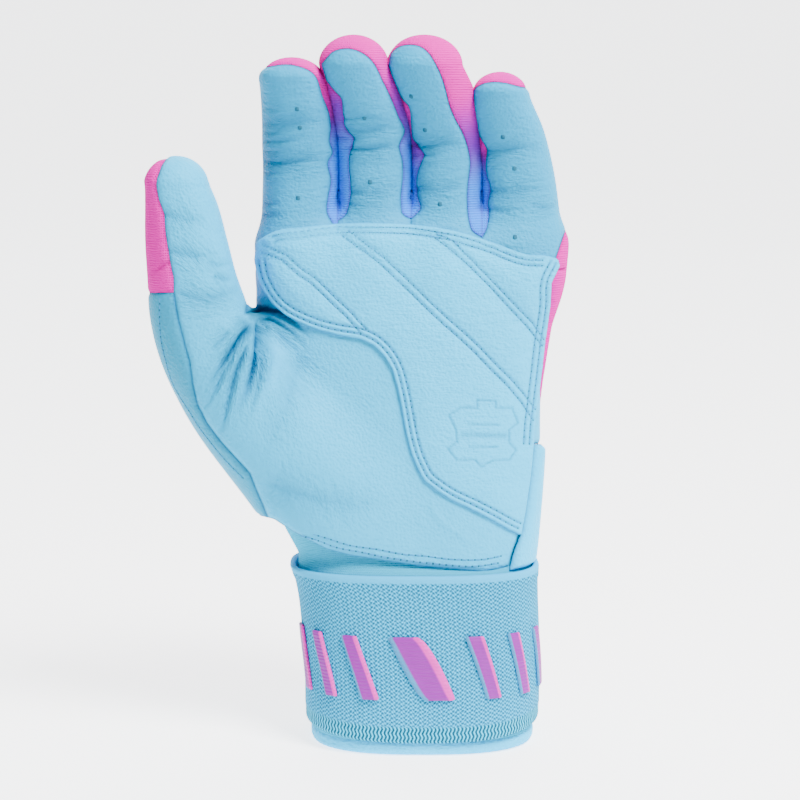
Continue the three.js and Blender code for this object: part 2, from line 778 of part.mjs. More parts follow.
// Raised slashes on the palm side of the strap.
const slashLean = slashLeanAngle / (slashTop - slashBottom);
for (let i = 0; i < slashCount; i++) {
  const centre = (i - (slashCount - 1) / 2) * slashPitchAngle;
  addMesh(
    `strap_slash_${i + 1}`,
    curvedSlab(
      wristBand(
        centre - slashWidthAngle / 2, centre + slashWidthAngle / 2,
        slashBottom, slashTop, { lean: slashLean },
      ),
      3, 3, strapOuter + seamGap, strapOuter + seamGap + slashWall,
    ),
    moulded(),
  );
}

// The origin is the middle of the footprint, at the rim's height.
const bounds = new THREE.Box3().setFromObject(glove);
const middlePoint = bounds.getCenter(new THREE.Vector3());
glove.position.set(-middlePoint.x, -middlePoint.y, -bounds.min.z);

const root = new THREE.Group();
root.add(glove);
export default root;
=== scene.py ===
"""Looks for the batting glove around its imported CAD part.

The gloved hand is one smooth form: columns for the palm, the thumb and the four fingers, joined softly.
Its skin is found as a net of points, and cut along the seams into the leather and knit panels. The
patch, cuff, strap, tab and trims are surfaces over two parameters. Seams follow named points on the view
that the camera sees. Lengths in the tables are millimetres in the hand's own frame: x across the palm,
y away from the camera, z up from the cuff's rim.
"""
import math

import bpy
import numpy as np
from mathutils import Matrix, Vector
from bpy.props import FloatProperty, FloatVectorProperty, IntProperty, PointerProperty


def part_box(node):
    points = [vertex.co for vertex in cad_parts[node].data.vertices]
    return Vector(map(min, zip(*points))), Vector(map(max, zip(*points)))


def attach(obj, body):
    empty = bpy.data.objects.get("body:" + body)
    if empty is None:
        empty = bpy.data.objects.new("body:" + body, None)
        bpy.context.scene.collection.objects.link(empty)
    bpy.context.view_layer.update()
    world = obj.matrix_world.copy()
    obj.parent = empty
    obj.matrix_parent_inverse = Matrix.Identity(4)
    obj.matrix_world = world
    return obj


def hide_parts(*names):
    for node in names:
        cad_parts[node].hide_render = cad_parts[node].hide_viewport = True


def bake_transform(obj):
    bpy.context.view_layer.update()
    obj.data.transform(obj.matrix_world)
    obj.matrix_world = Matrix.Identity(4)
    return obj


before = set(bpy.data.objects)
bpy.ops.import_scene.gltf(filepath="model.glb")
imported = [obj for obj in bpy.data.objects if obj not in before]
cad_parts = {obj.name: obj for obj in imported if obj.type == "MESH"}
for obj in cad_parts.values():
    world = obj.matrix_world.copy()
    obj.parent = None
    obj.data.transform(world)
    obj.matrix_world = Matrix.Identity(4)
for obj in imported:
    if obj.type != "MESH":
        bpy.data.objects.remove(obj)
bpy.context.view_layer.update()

bl_info = {
    "name": "Batting Glove",
    "version": (1, 0, 0),
    "blender": (4, 5, 0),
    "location": "View3D > Sidebar > Glove",
    "description": "Builds the panels, straps and trims of a batting glove around its CAD frame",
    "category": "Add Mesh",
}

MM = 0.001

# The camera stands this far off, tilted down, and looks at the middle of the glove.
FOCAL_PIXELS = 2200.0
PIXEL = 0.32
DISTANCE = FOCAL_PIXELS * PIXEL
TILT = math.radians(8)
TARGET_HEIGHT = 109.4
MIDDLE_PIXEL = 400.0

# The rim's middle in the hand's frame, used to find the hand's frame in the CAD part's frame.
RIM_MIDDLE_X = 7.2
RIM_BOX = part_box("cuff_rim")
SHIFT = np.array([
    (RIM_BOX[0][0] + RIM_BOX[1][0]) / 2 - RIM_MIDDLE_X * MM,
    (RIM_BOX[0][1] + RIM_BOX[1][1]) / 2,
    RIM_BOX[0][2],
])


def to_part(points):
    """Millimetres in the hand's frame to metres in the CAD part's frame."""
    return np.asarray(points, float) * MM + SHIFT


def seen_at(points):
    """Where the camera sees points: perspective division of their place along the camera's three axes."""
    c, s = math.cos(TILT), math.sin(TILT)
    away = points[..., 1] + DISTANCE * c
    high = points[..., 2] - TARGET_HEIGHT - DISTANCE * s
    depth = away * c - high * s
    rise = away * s + high * c
    return np.stack([
        MIDDLE_PIXEL + FOCAL_PIXELS * points[..., 0] / depth,
        MIDDLE_PIXEL - FOCAL_PIXELS * rise / depth,
    ], axis=-1)


def sight_lines(pixels):
    """Start and direction of the line of sight through each point of the view."""
    c, s = math.cos(TILT), math.sin(TILT)
    a = (pixels[..., 0] - MIDDLE_PIXEL) / FOCAL_PIXELS
    b = (MIDDLE_PIXEL - pixels[..., 1]) / FOCAL_PIXELS
    direction = np.stack([a, c + b * s, -s + b * c], axis=-1)
    start = np.array([0, -DISTANCE * c, TARGET_HEIGHT + DISTANCE * s])
    return start, direction / np.linalg.norm(direction, axis=-1, keepdims=True)


def smooth_step(low, high, value):
    """0 below low, 1 above high and 3t^2 - 2t^3 between."""
    t = np.clip((value - low) / (high - low), 0, 1)
    return t * t * (3 - 2 * t)


def eased(stops, values, at):
    """Cubic Hermite curve through the values at the stops, with each slope from the stops on both sides."""
    stops = np.asarray(stops, float)
    values = np.asarray(values, float)
    slopes = np.gradient(values, stops)
    at = np.clip(at, stops[0], stops[-1])
    i = np.clip(np.searchsorted(stops, at) - 1, 0, len(stops) - 2)
    gap = stops[i + 1] - stops[i]
    t = (at - stops[i]) / gap
    return (
        (1 + 2 * t) * (1 - t) ** 2 * values[i] + t * (1 - t) ** 2 * gap * slopes[i]
        + t * t * (3 - 2 * t) * values[i + 1] + t * t * (t - 1) * gap * slopes[i + 1]
    )


def along(line, share, smooth=True):
    """Points on a polyline at shares of its length, eased through its corners when smooth."""
    line = np.asarray(line, float)
    steps = np.linalg.norm(np.diff(line, axis=0), axis=1)
    stops = np.concatenate([[0], np.cumsum(steps)])
    at = np.asarray(share, float) * stops[-1]
    if smooth:
        return np.stack([eased(stops, line[:, k], at) for k in range(line.shape[1])], axis=-1)
    return np.stack([np.interp(at, stops, line[:, k]) for k in range(line.shape[1])], axis=-1)


def rounded(line, count):
    """The same polyline with count points eased through its corners."""
    return along(line, np.linspace(0, 1, count))


def distance_to(line, points, closed=False):
    """Distance from each point to the nearest segment of a polyline, and the share of its length there."""
    line = np.asarray(line, float)
    if closed:
        line = np.vstack([line, line[:1]])
    best = np.full(points.shape[:-1], 1e9)
    share = np.zeros(points.shape[:-1])
    lengths = np.linalg.norm(np.diff(line, axis=0), axis=1)
    starts = np.concatenate([[0], np.cumsum(lengths)])
    for k, length in enumerate(lengths):
        if length < 1e-9:
            continue
        edge = line[k + 1] - line[k]
        t = np.clip(((points - line[k]) @ edge) / (length * length), 0, 1)
        gap = np.linalg.norm(points - line[k] - t[..., None] * edge, axis=-1)
        near = gap < best
        best = np.where(near, gap, best)
        share = np.where(near, (starts[k] + t * length) / starts[-1], share)
    return best, share


def outside(outline, points):
    """Signed distance to a closed outline, negative where a level line crosses an odd number of edges."""
    outline = np.asarray(outline, float)
    gap, _ = distance_to(outline, points, closed=True)
    x, y = points[..., 0], points[..., 1]
    inside = np.zeros(x.shape, bool)
    for (ax, ay), (bx, by) in zip(outline, np.roll(outline, -1, axis=0)):
        if ay == by:
            continue
        crosses = (ay > y) != (by > y)
        inside ^= crosses & (x < (bx - ax) * (y - ay) / (by - ay) + ax)
    return np.where(inside, -gap, gap)


COLUMN_STEP = 0.5


class Column:
    """A loft whose section at height z is |x/a|^n + |y/b|^n = 1 about a moving middle, closed by a dome
    above and, where it has a root, by another below."""

    def __init__(self, rows, power, top, dome, root=None, root_dome=1.0):
        rows = np.array(rows, float)
        self.power, self.top, self.dome, self.root, self.root_dome = power, top, dome, root, root_dome
        self.heights = np.arange(rows[0, 0], rows[-1, 0] + COLUMN_STEP, COLUMN_STEP)
        self.tables = [eased(rows[:, 0], rows[:, k], self.heights) for k in (1, 2, 3, 4)]

    def sizes(self, z):
        """Middle x, middle y, half width and half depth at height z."""
        return [np.interp(z, self.heights, table) for table in self.tables]

    def value(self, x, y, z):
        """About the distance outside the loft: (radius share - 1) times the smaller half size."""
        x0, y0, _, _ = self.sizes(z)
        _, _, a, b = self.sizes(np.minimum(z, self.top - self.dome))
        n = self.power
        flat = (np.abs((x - x0) / a) ** n + np.abs((y - y0) / b) ** n) ** (2 / n)
        rise = np.maximum(z - (self.top - self.dome), 0) / self.dome
        if self.root is not None:
            rise = rise + np.maximum(self.root - z, 0) / self.root_dome
        return (np.sqrt(flat + rise * rise) - 1) * np.minimum(a, b)


def soft_join(a, b, reach):
    """Smooth union: the smaller value, less k h (1 - h) where the two are within the reach k."""
    h = np.clip(0.5 + 0.5 * (b - a) / reach, 0, 1)
    return b + (a - b) * h - reach * h * (1 - h)


# Columns of the hand: rows of height, middle x, middle y, half width and half depth, then the section's
# power n, the top and its dome's height and, where it has one, the root and its dome's height.
PALM = Column([
    (30, 6.6, 0, 36.3, 25.0), (57, 4.6, 0, 37.4, 23.2), (65, 3.2, 0, 39.6, 22.3), (72, 1.8, 0, 41.6, 21.4),
    (95, -0.2, 0, 45.0, 19.0), (110, -0.3, 0, 45.3, 17.8), (125, 0.6, 0, 46.4, 16.8),
    (141, 1.9, 0, 47.6, 15.8),
    (152, 3.0, 0, 48.0, 15.0), (168, 4.0, 0, 48.2, 13.0),
], 2.7, 171, 12)
THUMB = Column([
    (56, -6, 0, 14, 13), (64, -12, -1, 19.5, 16), (80, -24, -2.5, 23.2, 19), (100, -40.2, -5, 23.6, 19.2),
    (120, -54.0, -8, 20.2, 17), (138, -62.6, -11.2, 15.7, 14), (149, -64.6, -12.8, 14.0, 12.9),
    (161.5, -66.3, -14, 12.7, 12.2), (174, -67.8, -15.3, 10.9, 11.2), (180, -69.0, -16, 9.6, 10.2),
], 2.25, 187.6, 9.5, 66, 14)
FINGERS = {
    "index": Column([
        (140, -30.5, 0, 11.5, 13), (153, -31.2, 0, 11.9, 12.6), (166.3, -31.7, 0, 12.0, 12.3),
        (174.8, -31.2, -0.6, 12.2, 12.0), (183.4, -30.9, -2.2, 12.2, 11.6), (190.6, -31.0, -4.6, 12.1, 11.3),
        (198.4, -31.3, -8.4, 11.6, 10.9), (206.1, -32.1, -12.2, 10.9, 10.2),
        (212.2, -33.2, -15.4, 10.2, 9.3),
    ], 2.25, 217.6, 7.8, 152, 16),
    "middle": Column([
        (140, -7.6, 0, 11.4, 13), (153, -7.8, 0, 11.5, 12.6), (166.3, -8.0, 0, 11.6, 12.3),
        (174.8, -7.8, -0.6, 11.8, 12.0), (184.3, -7.8, -2.3, 11.9, 11.6), (192.2, -8.0, -5.1, 11.9, 11.3),
        (199.9, -9.2, -9.0, 11.8, 10.9), (207.6, -11.4, -12.8, 11.3, 10.4), (215.2, -14.2, -16.8, 10.8, 9.5),
    ], 2.25, 224.4, 9.5, 152, 16),
    "ring": Column([
        (140, 14.0, 0, 11.2, 13), (153, 14.2, 0, 11.2, 12.6), (166.3, 14.4, 0, 11.3, 12.3),
        (174.8, 14.6, -0.6, 11.4, 12.0), (184.3, 14.8, -2.3, 11.4, 11.6), (192.2, 14.2, -5.1, 11.3, 11.3),
        (199.9, 13.0, -9.0, 11.6, 10.9), (207.6, 10.6, -12.8, 12.3, 10.4), (215.2, 7.4, -16.8, 11.8, 9.5),
    ], 2.25, 224.4, 9.5, 152, 16),
    "little": Column([
        (140, 37.4, 0, 12.6, 12.8), (153, 38.0, 0, 12.8, 12.4), (162.2, 38.3, 0, 12.9, 12.0),
        (171.7, 37.8, -0.5, 12.3, 11.5), (181.2, 36.9, -2.2, 11.7, 11.0), (189.0, 35.6, -4.8, 11.1, 10.6),
        (196.9, 33.6, -8.4, 10.5, 10.1), (203.0, 31.6, -11.6, 9.6, 9.5), (207.6, 30.7, -14.2, 8.4, 8.6),
    ], 2.25, 213.2, 8, 150, 16),
}
GUSSETS = {
    "index": ("index_gusset_right", "gusset_index_middle"),
    "middle": ("middle_gusset_left", "middle_gusset_right", "gusset_middle_ring"),
    "ring": ("ring_gusset_left", "ring_gusset_right", "gusset_ring_little"),
    "little": ("little_gusset_left",),
}

# How far the soft joins reach: at the fingers' roots, and at the thumb below and above its web.
FINGER_REACH = 5.0
THUMB_REACH_LOW, THUMB_REACH_HIGH = 13.0, 4.5
WEB_LOW, WEB_HIGH = 104.0, 134.0

# Nets: the cubes' size, the layers worked out at once, the corners of the palm's net and, around a finger's
# own net, the heights that its width is taken at and its margins.
NET_STEP = 0.62
NET_LAYERS = 24
EVENING_ROUNDS = 2
EVENING_SHARE = 0.6
PALM_NET = ((-84.0, -36.0, 44.0), (58.0, 30.0, 190.0))
FINGER_NET_HEIGHTS = np.array([150.0, 170.0, 190.0, 215.0])
FINGER_NET_LOW, FINGER_NET_HIGH = (3.4, 34.0, 150.0), (3.8, 16.0, 2.0)
STUB_TOP = 176.0
SLOPE_STEP = 0.05


def hand_value(x, y, z, own=None):
    """About the distance outside the gloved hand: fingers, then the thumb, joined softly to the palm. For
    one finger's own net, the other fingers end in stubs just above the webs."""
    reach = THUMB_REACH_LOW + (THUMB_REACH_HIGH - THUMB_REACH_LOW) * smooth_step(WEB_LOW, WEB_HIGH, z)
    hand = soft_join(PALM.value(x, y, z), THUMB.value(x, y, z), reach)
    fingers = []
    for name, column in FINGERS.items():
        value = column.value(x, y, z)
        if own is not None and name != own:
            value = np.maximum(value, z - STUB_TOP)
        fingers.append(value)
    return soft_join(hand, np.minimum.reduce(fingers), FINGER_REACH)


def hand_value_at(points, own=None):
    """The form's value at points."""
    return hand_value(points[..., 0], points[..., 1], points[..., 2], own)


def hand_rise(points, own=None):
    """How much the form's value rises along each axis, from one slope step before to one after."""
    return np.stack([
        hand_value_at(points + SLOPE_STEP * axis, own) - hand_value_at(points - SLOPE_STEP * axis, own)
        for axis in np.eye(3)
    ], axis=-1)


def hand_slope(points, own=None):
    """Unit outward direction of the form by central differences."""
    rise = hand_rise(points, own)
    return rise / np.maximum(np.linalg.norm(rise, axis=-1, keepdims=True), 1e-12)


def onto_hand(points, rounds, own=None):
    """Moves points to the form's skin along its slope: p - value times slope over the slope's square."""
    for _ in range(rounds):
        value = hand_value_at(points, own)
        slope = hand_rise(points, own) / (2 * SLOPE_STEP)
        size = np.maximum((slope * slope).sum(-1), 0.05)
        points = points - np.clip(value / size, -2, 2)[..., None] * slope
    return points


def hand_net(lowest_corner, highest_corner, own=None):
    """The form's skin as a net: one point in each small cube that the skin crosses, moved onto the skin,
    and one square around each cube edge whose ends lie on different sides."""
    axes = [np.arange(low, high, NET_STEP) for low, high in zip(lowest_corner, highest_corner)]
    x, y, z = np.meshgrid(*axes, indexing="ij", sparse=True)
    solid = np.concatenate([
        hand_value(x, y, z[..., k:k + NET_LAYERS], own) < 0 for k in range(0, len(axes[2]), NET_LAYERS)
    ], axis=2)
    corners = [
        solid[i:solid.shape[0] - 1 + i, j:solid.shape[1] - 1 + j, k:solid.shape[2] - 1 + k]
        for i in (0, 1) for j in (0, 1) for k in (0, 1)
    ]
    some = np.logical_or.reduce(corners)
    every = np.logical_and.reduce(corners)
    cells = np.argwhere(some & ~every)
    number = np.full(some.shape, -1, np.int64)
    number[tuple(cells.T)] = np.arange(len(cells))
    points = np.array(lowest_corner) + (cells + 0.5) * NET_STEP
    squares = []
    for axis in range(3):
        one, two = [a for a in range(3) if a != axis]
        low = [slice(1, -1)] * 3
        high = [slice(1, -1)] * 3
        low[axis], high[axis] = slice(0, -1), slice(1, None)
        first, second = solid[tuple(low)], solid[tuple(high)]
        for inward, here in ((False, first & ~second), (True, ~first & second)):
            at = np.argwhere(here)
            at[:, one] += 1
            at[:, two] += 1
            ring = []
            for du, dv in ((-1, -1), (0, -1), (0, 0), (-1, 0)):
                cell = at.copy()
                cell[:, one] += du
                cell[:, two] += dv
                ring.append(number[tuple(cell.T)])
            ring = np.stack(ring, axis=1)
            if inward != (axis == 1):
                ring = ring[:, ::-1]
            squares.append(ring)
    squares = np.concatenate(squares)
    squares = squares[(squares >= 0).all(axis=1)]
    points = onto_hand(points, 3, own)
    for _ in range(EVENING_ROUNDS):
        total = np.zeros_like(points)
        count = np.zeros(len(points))
        for k in range(4):
            here, there = squares[:, k], squares[:, (k + 1) % 4]
            for a, b in ((here, there), (there, here)):
                np.add.at(total, a, points[b])
                np.add.at(count, a, 1)
        middle = total / np.maximum(count, 1)[:, None]
        points = onto_hand(points + EVENING_SHARE * (middle - points) * (count > 0)[:, None], 1, own)
    triangles = np.concatenate([squares[:, [0, 1, 2]], squares[:, [0, 2, 3]]])
    return points, triangles


def kept(points, triangles, field):
    """The part of a net where a field is below 0. Each triangle that the border crosses is cut there, at the
    point of its edge where the field, taken as even along the edge, is 0."""
    low = field < 0
    held = low[triangles].sum(axis=1)
    whole = triangles[held == 3]
    new_faces, edge_pairs = [], []
    for count in (1, 2):
        some = triangles[held == count]
        mark = low[some]
        odd = np.argmax(mark if count == 1 else ~mark, axis=1)
        rows = np.arange(len(some))
        a, b, c = (some[rows, (odd + k) % 3] for k in range(3))
        base = len(points) + sum(len(pair) for pair in edge_pairs)
        ab = base + rows
        ac = base + len(rows) + rows
        edge_pairs += [np.stack([a, b], 1), np.stack([a, c], 1)]
        if count == 1:
            new_faces.append(np.stack([a, ab, ac], 1))
        else:
            new_faces += [np.stack([ab, b, c], 1), np.stack([ab, c, ac], 1)]
    pairs = np.concatenate(edge_pairs)
    pairs_sorted = np.sort(pairs, axis=1)
    unique, back = np.unique(pairs_sorted, axis=0, return_inverse=True)
    back = back.reshape(-1)
    f0, f1 = field[unique[:, 0]], field[unique[:, 1]]
    t = f0 / np.where(np.abs(f0 - f1) < 1e-12, 1, f0 - f1)
    cut = points[unique[:, 0]] + t[:, None] * (points[unique[:, 1]] - points[unique[:, 0]])
    faces = np.concatenate([whole] + new_faces)
    faces = np.where(faces >= len(points), len(points) + back[np.maximum(faces - len(points), 0)], faces)
    every = np.concatenate([points, cut])
    good = (faces[:, 0] != faces[:, 1]) & (faces[:, 1] != faces[:, 2]) & (faces[:, 2] != faces[:, 0])
    faces = faces[good]
    used, faces = np.unique(faces, return_inverse=True)
    return every[used], faces.reshape(-1, 3)


def new_mesh(name, points, triangles, title):
    """A mesh in the part's frame from millimetre points and triangles or squares."""
    faces = np.asarray(triangles, np.int32)
    corners = faces.shape[1]
    mesh = bpy.data.meshes.new(name)
    mesh.vertices.add(len(points))
    mesh.vertices.foreach_set("co", to_part(points).astype(np.float32).ravel())
    mesh.loops.add(faces.size)
    mesh.loops.foreach_set("vertex_index", faces.ravel())
    mesh.polygons.add(len(faces))
    mesh.polygons.foreach_set("loop_start", np.arange(0, faces.size, corners, dtype=np.int32))
    mesh.update(calc_edges=True)
    mesh.shade_smooth()
    thing = bpy.data.objects.new(name, mesh)
    thing["title"] = title
    bpy.context.collection.objects.link(thing)
    return thing


def set_number(thing, name, values):
    """Stores a number at each point of a mesh."""
    layer = thing.data.attributes.new(name, "FLOAT", "POINT")
    layer.data.foreach_set("value", np.asarray(values, np.float32).ravel())


def set_vector(thing, name, values):
    """Stores a vector at each point of a mesh."""
    layer = thing.data.attributes.new(name, "FLOAT_VECTOR", "POINT")
    layer.data.foreach_set("vector", np.asarray(values, np.float32).ravel())


def grid_faces(rows, columns, close_rows=False, close_columns=False):
    """Squares of a grid of points numbered row by row."""
    r = np.arange(rows if close_rows else rows - 1)
    c = np.arange(columns if close_columns else columns - 1)
    r, c = (part.ravel() for part in np.meshgrid(r, c, indexing="ij"))
    r1, c1 = (r + 1) % rows, (c + 1) % columns
    return np.stack([r * columns + c, r * columns + c1, r1 * columns + c1, r1 * columns + c], axis=1)


class Amount:
    """A number in a material's node tree. Arithmetic on it adds Math nodes."""

    def __init__(self, look, socket):
        self.look, self.socket = look, socket

    def math(self, operation, *others):
        """One Math node with this number first."""
        node = self.look.tree.nodes.new("ShaderNodeMath")
        node.operation = operation
        for place, value in enumerate((self, *others)):
            self.look.feed(node.inputs[place], value)
        return Amount(self.look, node.outputs[0])

    def __add__(self, other):
        return self.math("ADD", other)

    __radd__ = __add__

    def __mul__(self, other):
        return self.math("MULTIPLY", other)

    __rmul__ = __mul__

    def __sub__(self, other):
        return self.math("SUBTRACT", other)

    def __rsub__(self, other):
        return self * -1 + other

    def __truediv__(self, other):
        return self.math("DIVIDE", other)

    def __rtruediv__(self, other):
        return self.math("POWER", -1) * other

    def __neg__(self):
        return self * -1

    def __abs__(self):
        return self.math("ABSOLUTE")

    def sine(self):
        return self.math("SINE")

    def least(self, other):
        return self.math("MINIMUM", other)

    def most(self, other):
        return self.math("MAXIMUM", other)

    def held(self):
        """Kept from 0 to 1."""
        return self.most(0).least(1)

    def step(self, low, high):
        """0 below low, 1 above high and eased between."""
        t = ((self - low) / (high - low)).held()
        return t * t * (3 - 2 * t)


class Look:
    """A procedural material and the nodes that its expressions add."""

    def __init__(self, name):
        self.material = bpy.data.materials.new(name)
        self.material.use_nodes = True
        self.tree = self.material.node_tree
        self.shader = self.tree.nodes["Principled BSDF"]

    def feed(self, socket, value):
        """Links a node's result to a socket, or sets a plain value on it."""
        if isinstance(value, Amount):
            self.tree.links.new(value.socket, socket)
        else:
            socket.default_value = value

    def node(self, kind, outlet=0, settings=None, **inputs):
        """A node of the kind, its settings and its inputs, whose names are written with _ for a space."""
        node = self.tree.nodes.new(kind)
        for name, value in (settings or {}).items():
            setattr(node, name, value)
        for name, value in inputs.items():
            self.feed(node.inputs[name.replace("_", " ")], value)
        return Amount(self, node.outputs[outlet])

    def number(self, name):
        """A number that the piece stores at its points."""
        return self.node("ShaderNodeAttribute", 2, {"attribute_name": name})

    def vector(self, name):
        """A vector that the piece stores at its points."""
        return self.node("ShaderNodeAttribute", 1, {"attribute_name": name})

    def axes(self, vector):
        """A vector's three parts."""
        node = self.tree.nodes.new("ShaderNodeSeparateXYZ")
        self.feed(node.inputs[0], vector)
        return [Amount(self, outlet) for outlet in node.outputs]

    def joined(self, x, y, z):
        return self.node("ShaderNodeCombineXYZ", X=x, Y=y, Z=z)

    def noise(self, vector, scale, detail=2.0, roughness=0.5):
        return self.node(
            "ShaderNodeTexNoise", Vector=vector, Scale=scale, Detail=detail, Roughness=roughness,
        )

    def cells(self, vector, scale, feature="F1"):
        """Distance to the nearest of the scattered points, in small cells."""
        return self.node("ShaderNodeTexVoronoi", 0, {"feature": feature}, Vector=vector, Scale=scale)

    def mix(self, share, one, two):
        """Colour two over colour one by a share."""
        node = self.tree.nodes.new("ShaderNodeMix")
        node.data_type = "RGBA"
        self.feed(node.inputs[0], share)
        for place, value in ((6, one), (7, two)):
            if isinstance(value, Amount):
                self.feed(node.inputs[place], value)
            else:
                node.inputs[place].default_value = (*value[:3], 1.0)
        return Amount(self, node.outputs[2])

    def finish(self, colour, roughness, height=None, rise=0.0003, **inputs):
        """Feeds the shader: colour, roughness and a bump from the height, rise metres high."""
        if isinstance(colour, Amount):
            self.feed(self.shader.inputs["Base Color"], colour)
        else:
            self.shader.inputs["Base Color"].default_value = (*colour[:3], 1.0)
        self.feed(self.shader.inputs["Roughness"], roughness)
        if height is not None:
            bump = self.node("ShaderNodeBump", Height=height, Distance=rise, Strength=1.0)
            self.feed(self.shader.inputs["Normal"], bump)
        for name, value in inputs.items():
            self.feed(self.shader.inputs[name.replace("_", " ")], value)
        return self.material


LEATHER_GRAIN = 0.0009
LEATHER_BUMP = 0.0007
KNIT_BUMP = 0.00013


def leather_look(name, lit, low):
    """Soft leather: pebble grain from cell distances, ridged wrinkles from noise drawn out along the
    leather's flow and strong where it is wrinkled, and painted shade in its creases, at its seams and
    along its wrinkle lines, from the lit colour towards the low one."""
    look = Look(name)
    rest = look.vector("rest")
    crease = look.number("crease")
    wrinkled = look.number("wrinkled")
    along, side, across = look.axes(look.vector("flow"))
    pebbles = look.cells(rest, 1 / LEATHER_GRAIN, "SMOOTH_F1")
    fine = look.noise(rest, 2600.0, 3.0, 0.6)
    cloud = look.noise(rest, 45.0)
    long_noise = look.noise(look.joined(along * 70.0, side * 90.0, across * 300.0), 1.0, 4.0, 0.6)
    short_noise = look.noise(look.joined(along * 170.0, side * 200.0, across * 820.0), 1.0, 3.0, 0.6)
    long_lines = 1 - (abs(long_noise - 0.5) * 9.0).held()
    short_lines = 1 - (abs(short_noise - 0.5) * 7.0).held()
    lines = long_lines * (0.14 + wrinkled * 0.9) + short_lines * (0.05 + wrinkled * 0.8)
    # Painted shade: creases, seam edges and wrinkle lines darken the leather towards its low colour; clouds
    # and fine noise vary its tone at random.
    shade = (crease + (cloud - 0.5) * 0.16 + lines * 0.13 + (fine - 0.5) * 0.12 + 0.01).held()
    colour = look.mix(shade, lit, low)
    height = pebbles * 0.4 + fine * 0.15 - lines * 0.55 - crease * 0.3
    rough = 0.46 + (fine - 0.5) * 0.2 + crease * 0.15
    return look.finish(colour, rough, height, LEATHER_BUMP, Specular_IOR_Level=0.06)


def knit_look(name, first, second, third, stitch=0.0006, depth=0.45):
    """Stretch knit: rows of small loops from two crossed waves, in a colour that an attribute picks:
    0 the first, 0.5 the second, 1 the third. Between the loops, and at its seams and folds, painted shade
    makes it darker by the depth."""
    look = Look(name)
    rest = look.vector("rest")
    x, y, _ = look.axes(rest)
    tint = look.number("tint")
    turn = 2 * math.pi / stitch
    wave = ((x + y) * turn).sine()
    rows = (look.number("row") * turn * 0.8 + wave * 0.9).sine()
    fuzz = look.noise(rest, 3000.0, 2.0, 0.6)
    cloud = look.noise(rest, 70.0)
    at = (tint + (cloud - 0.5) * 0.2).held()
    base = look.mix((at * 2).held(), first, second)
    base = look.mix((at * 2 - 1).held(), base, third)
    dark = look.mix(
        tint.step(0.3, 0.6), tuple(depth * part for part in first), tuple(0.45 * part for part in second),
    )
    # Painted shade between the loops and in the creases at seams and folds, with random fuzz.
    shade = (0.1 - rows * 0.1 + (fuzz - 0.5) * 0.35 + look.number("crease") * 0.7).held()
    colour = look.mix(shade, base, dark)
    height = rows * 0.5 + wave * 0.3 + fuzz * 0.4
    return look.finish(colour, 0.82 - rows * 0.06, height, KNIT_BUMP, Specular_IOR_Level=0.05)


# Seams and folds of the palm side as points of the view, in pixels.
INDEX_SEAM = [
    (200, 70), (258, 67), (293, 64), (313, 72), (325, 100), (330, 112), (332, 127), (330.5, 142), (334, 153),
    (329, 162), (332, 181), (329, 198), (328, 213), (333, 223), (333, 300), (200, 300),
]
MIDDLE_SEAM = [
    (320, 64), (334, 50), (346, 47.6), (360, 51), (371, 59), (378, 69), (383, 80), (389, 92), (395, 106),
    (400, 118), (406, 130), (400, 147), (403.5, 161), (404, 173), (402, 204), (403.5, 214), (411, 218),
    (411, 300), (333, 300), (333, 223), (345, 214), (348, 204), (349.6, 184), (348, 165), (349.6, 150),
    (353, 139), (345, 130), (342, 112), (340, 98), (334, 92), (325, 81),
]
RING_SEAM = [
    (387, 66), (390.5, 52), (398, 46), (409, 43.7), (421, 46), (430, 54), (436, 64), (442, 77), (446, 90),
    (450, 106), (456, 120), (464, 135), (469, 150), (471, 165), (469, 181), (468, 201), (469, 217),
    (473, 231), (482, 237), (482, 300), (411, 300), (411, 218), (420, 208), (416, 196), (415, 181),
    (418, 168), (423, 156), (412, 142), (410, 127), (407, 106), (401, 100), (395, 89), (389, 77),
]
LITTLE_SEAM = [
    (471, 95), (473, 89), (481, 83.5), (493, 81), (505, 82), (521, 86), (600, 86), (600, 300), (482, 300),
    (482, 237), (484, 234), (488, 219), (487, 204), (488.5, 185), (485, 173), (485, 158), (484, 147),
    (476, 133), (473, 120), (471, 106),
]
FINGER_SEAMS = {"index": INDEX_SEAM, "middle": MIDDLE_SEAM, "ring": RING_SEAM, "little": LITTLE_SEAM}
THUMB_SEAM = [(166, 157), (161, 164), (156, 178), (155, 185), (157.5, 199), (163, 213), (165, 234),
              (169, 260),
              (173, 278), (173, 293)]
SIDE_SEAM = [(173, 293), (178, 321), (184, 344), (189, 362), (192, 385), (196.5, 405), (206, 424),
             (219.5, 442), (236, 460), (249, 474), (262, 486)]
HEM = [(240, 512), (273, 520), (293, 533), (306, 540), (326, 550), (349, 556), (382, 561), (416, 566),
       (460, 570), (485, 572), (503, 568), (530, 560), (580, 545)]
STRIP_EDGE = [(533, 444), (531, 460), (529, 480), (526, 501), (523, 522), (520, 536), (513, 554), (508, 574)]
PATCH_TOP = [(258, 240), (273, 231), (304, 226), (334, 223), (371, 222), (401, 223), (432, 226), (462, 232),
             (493, 242), (527, 254), (546, 255), (557, 258)]
PATCH_RIGHT = [(557, 258), (559, 266), (551, 283), (550, 303), (544, 344), (541, 369), (537, 402),
               (534, 427),
               (533, 444), (529, 480), (526, 501), (523, 522), (520, 536)]
PATCH_LEFT = [(258, 240), (255.5, 260), (258.5, 277), (264, 290), (273, 304), (285, 315), (301, 324),
              (319, 331), (339, 336), (361, 340), (373, 346), (383, 356), (391, 369), (396, 386),
              (400.5, 407), (405, 432), (410, 452), (416, 467), (423, 480), (436, 491), (450, 500),
              (471, 510), (492, 521), (506, 529), (520, 536)]
PINK_SIDE = [(566, 232), (557, 258), (553, 268), (551, 283), (550, 303), (545, 335), (541, 360), (548, 366),
             (700, 366), (700, 232)]

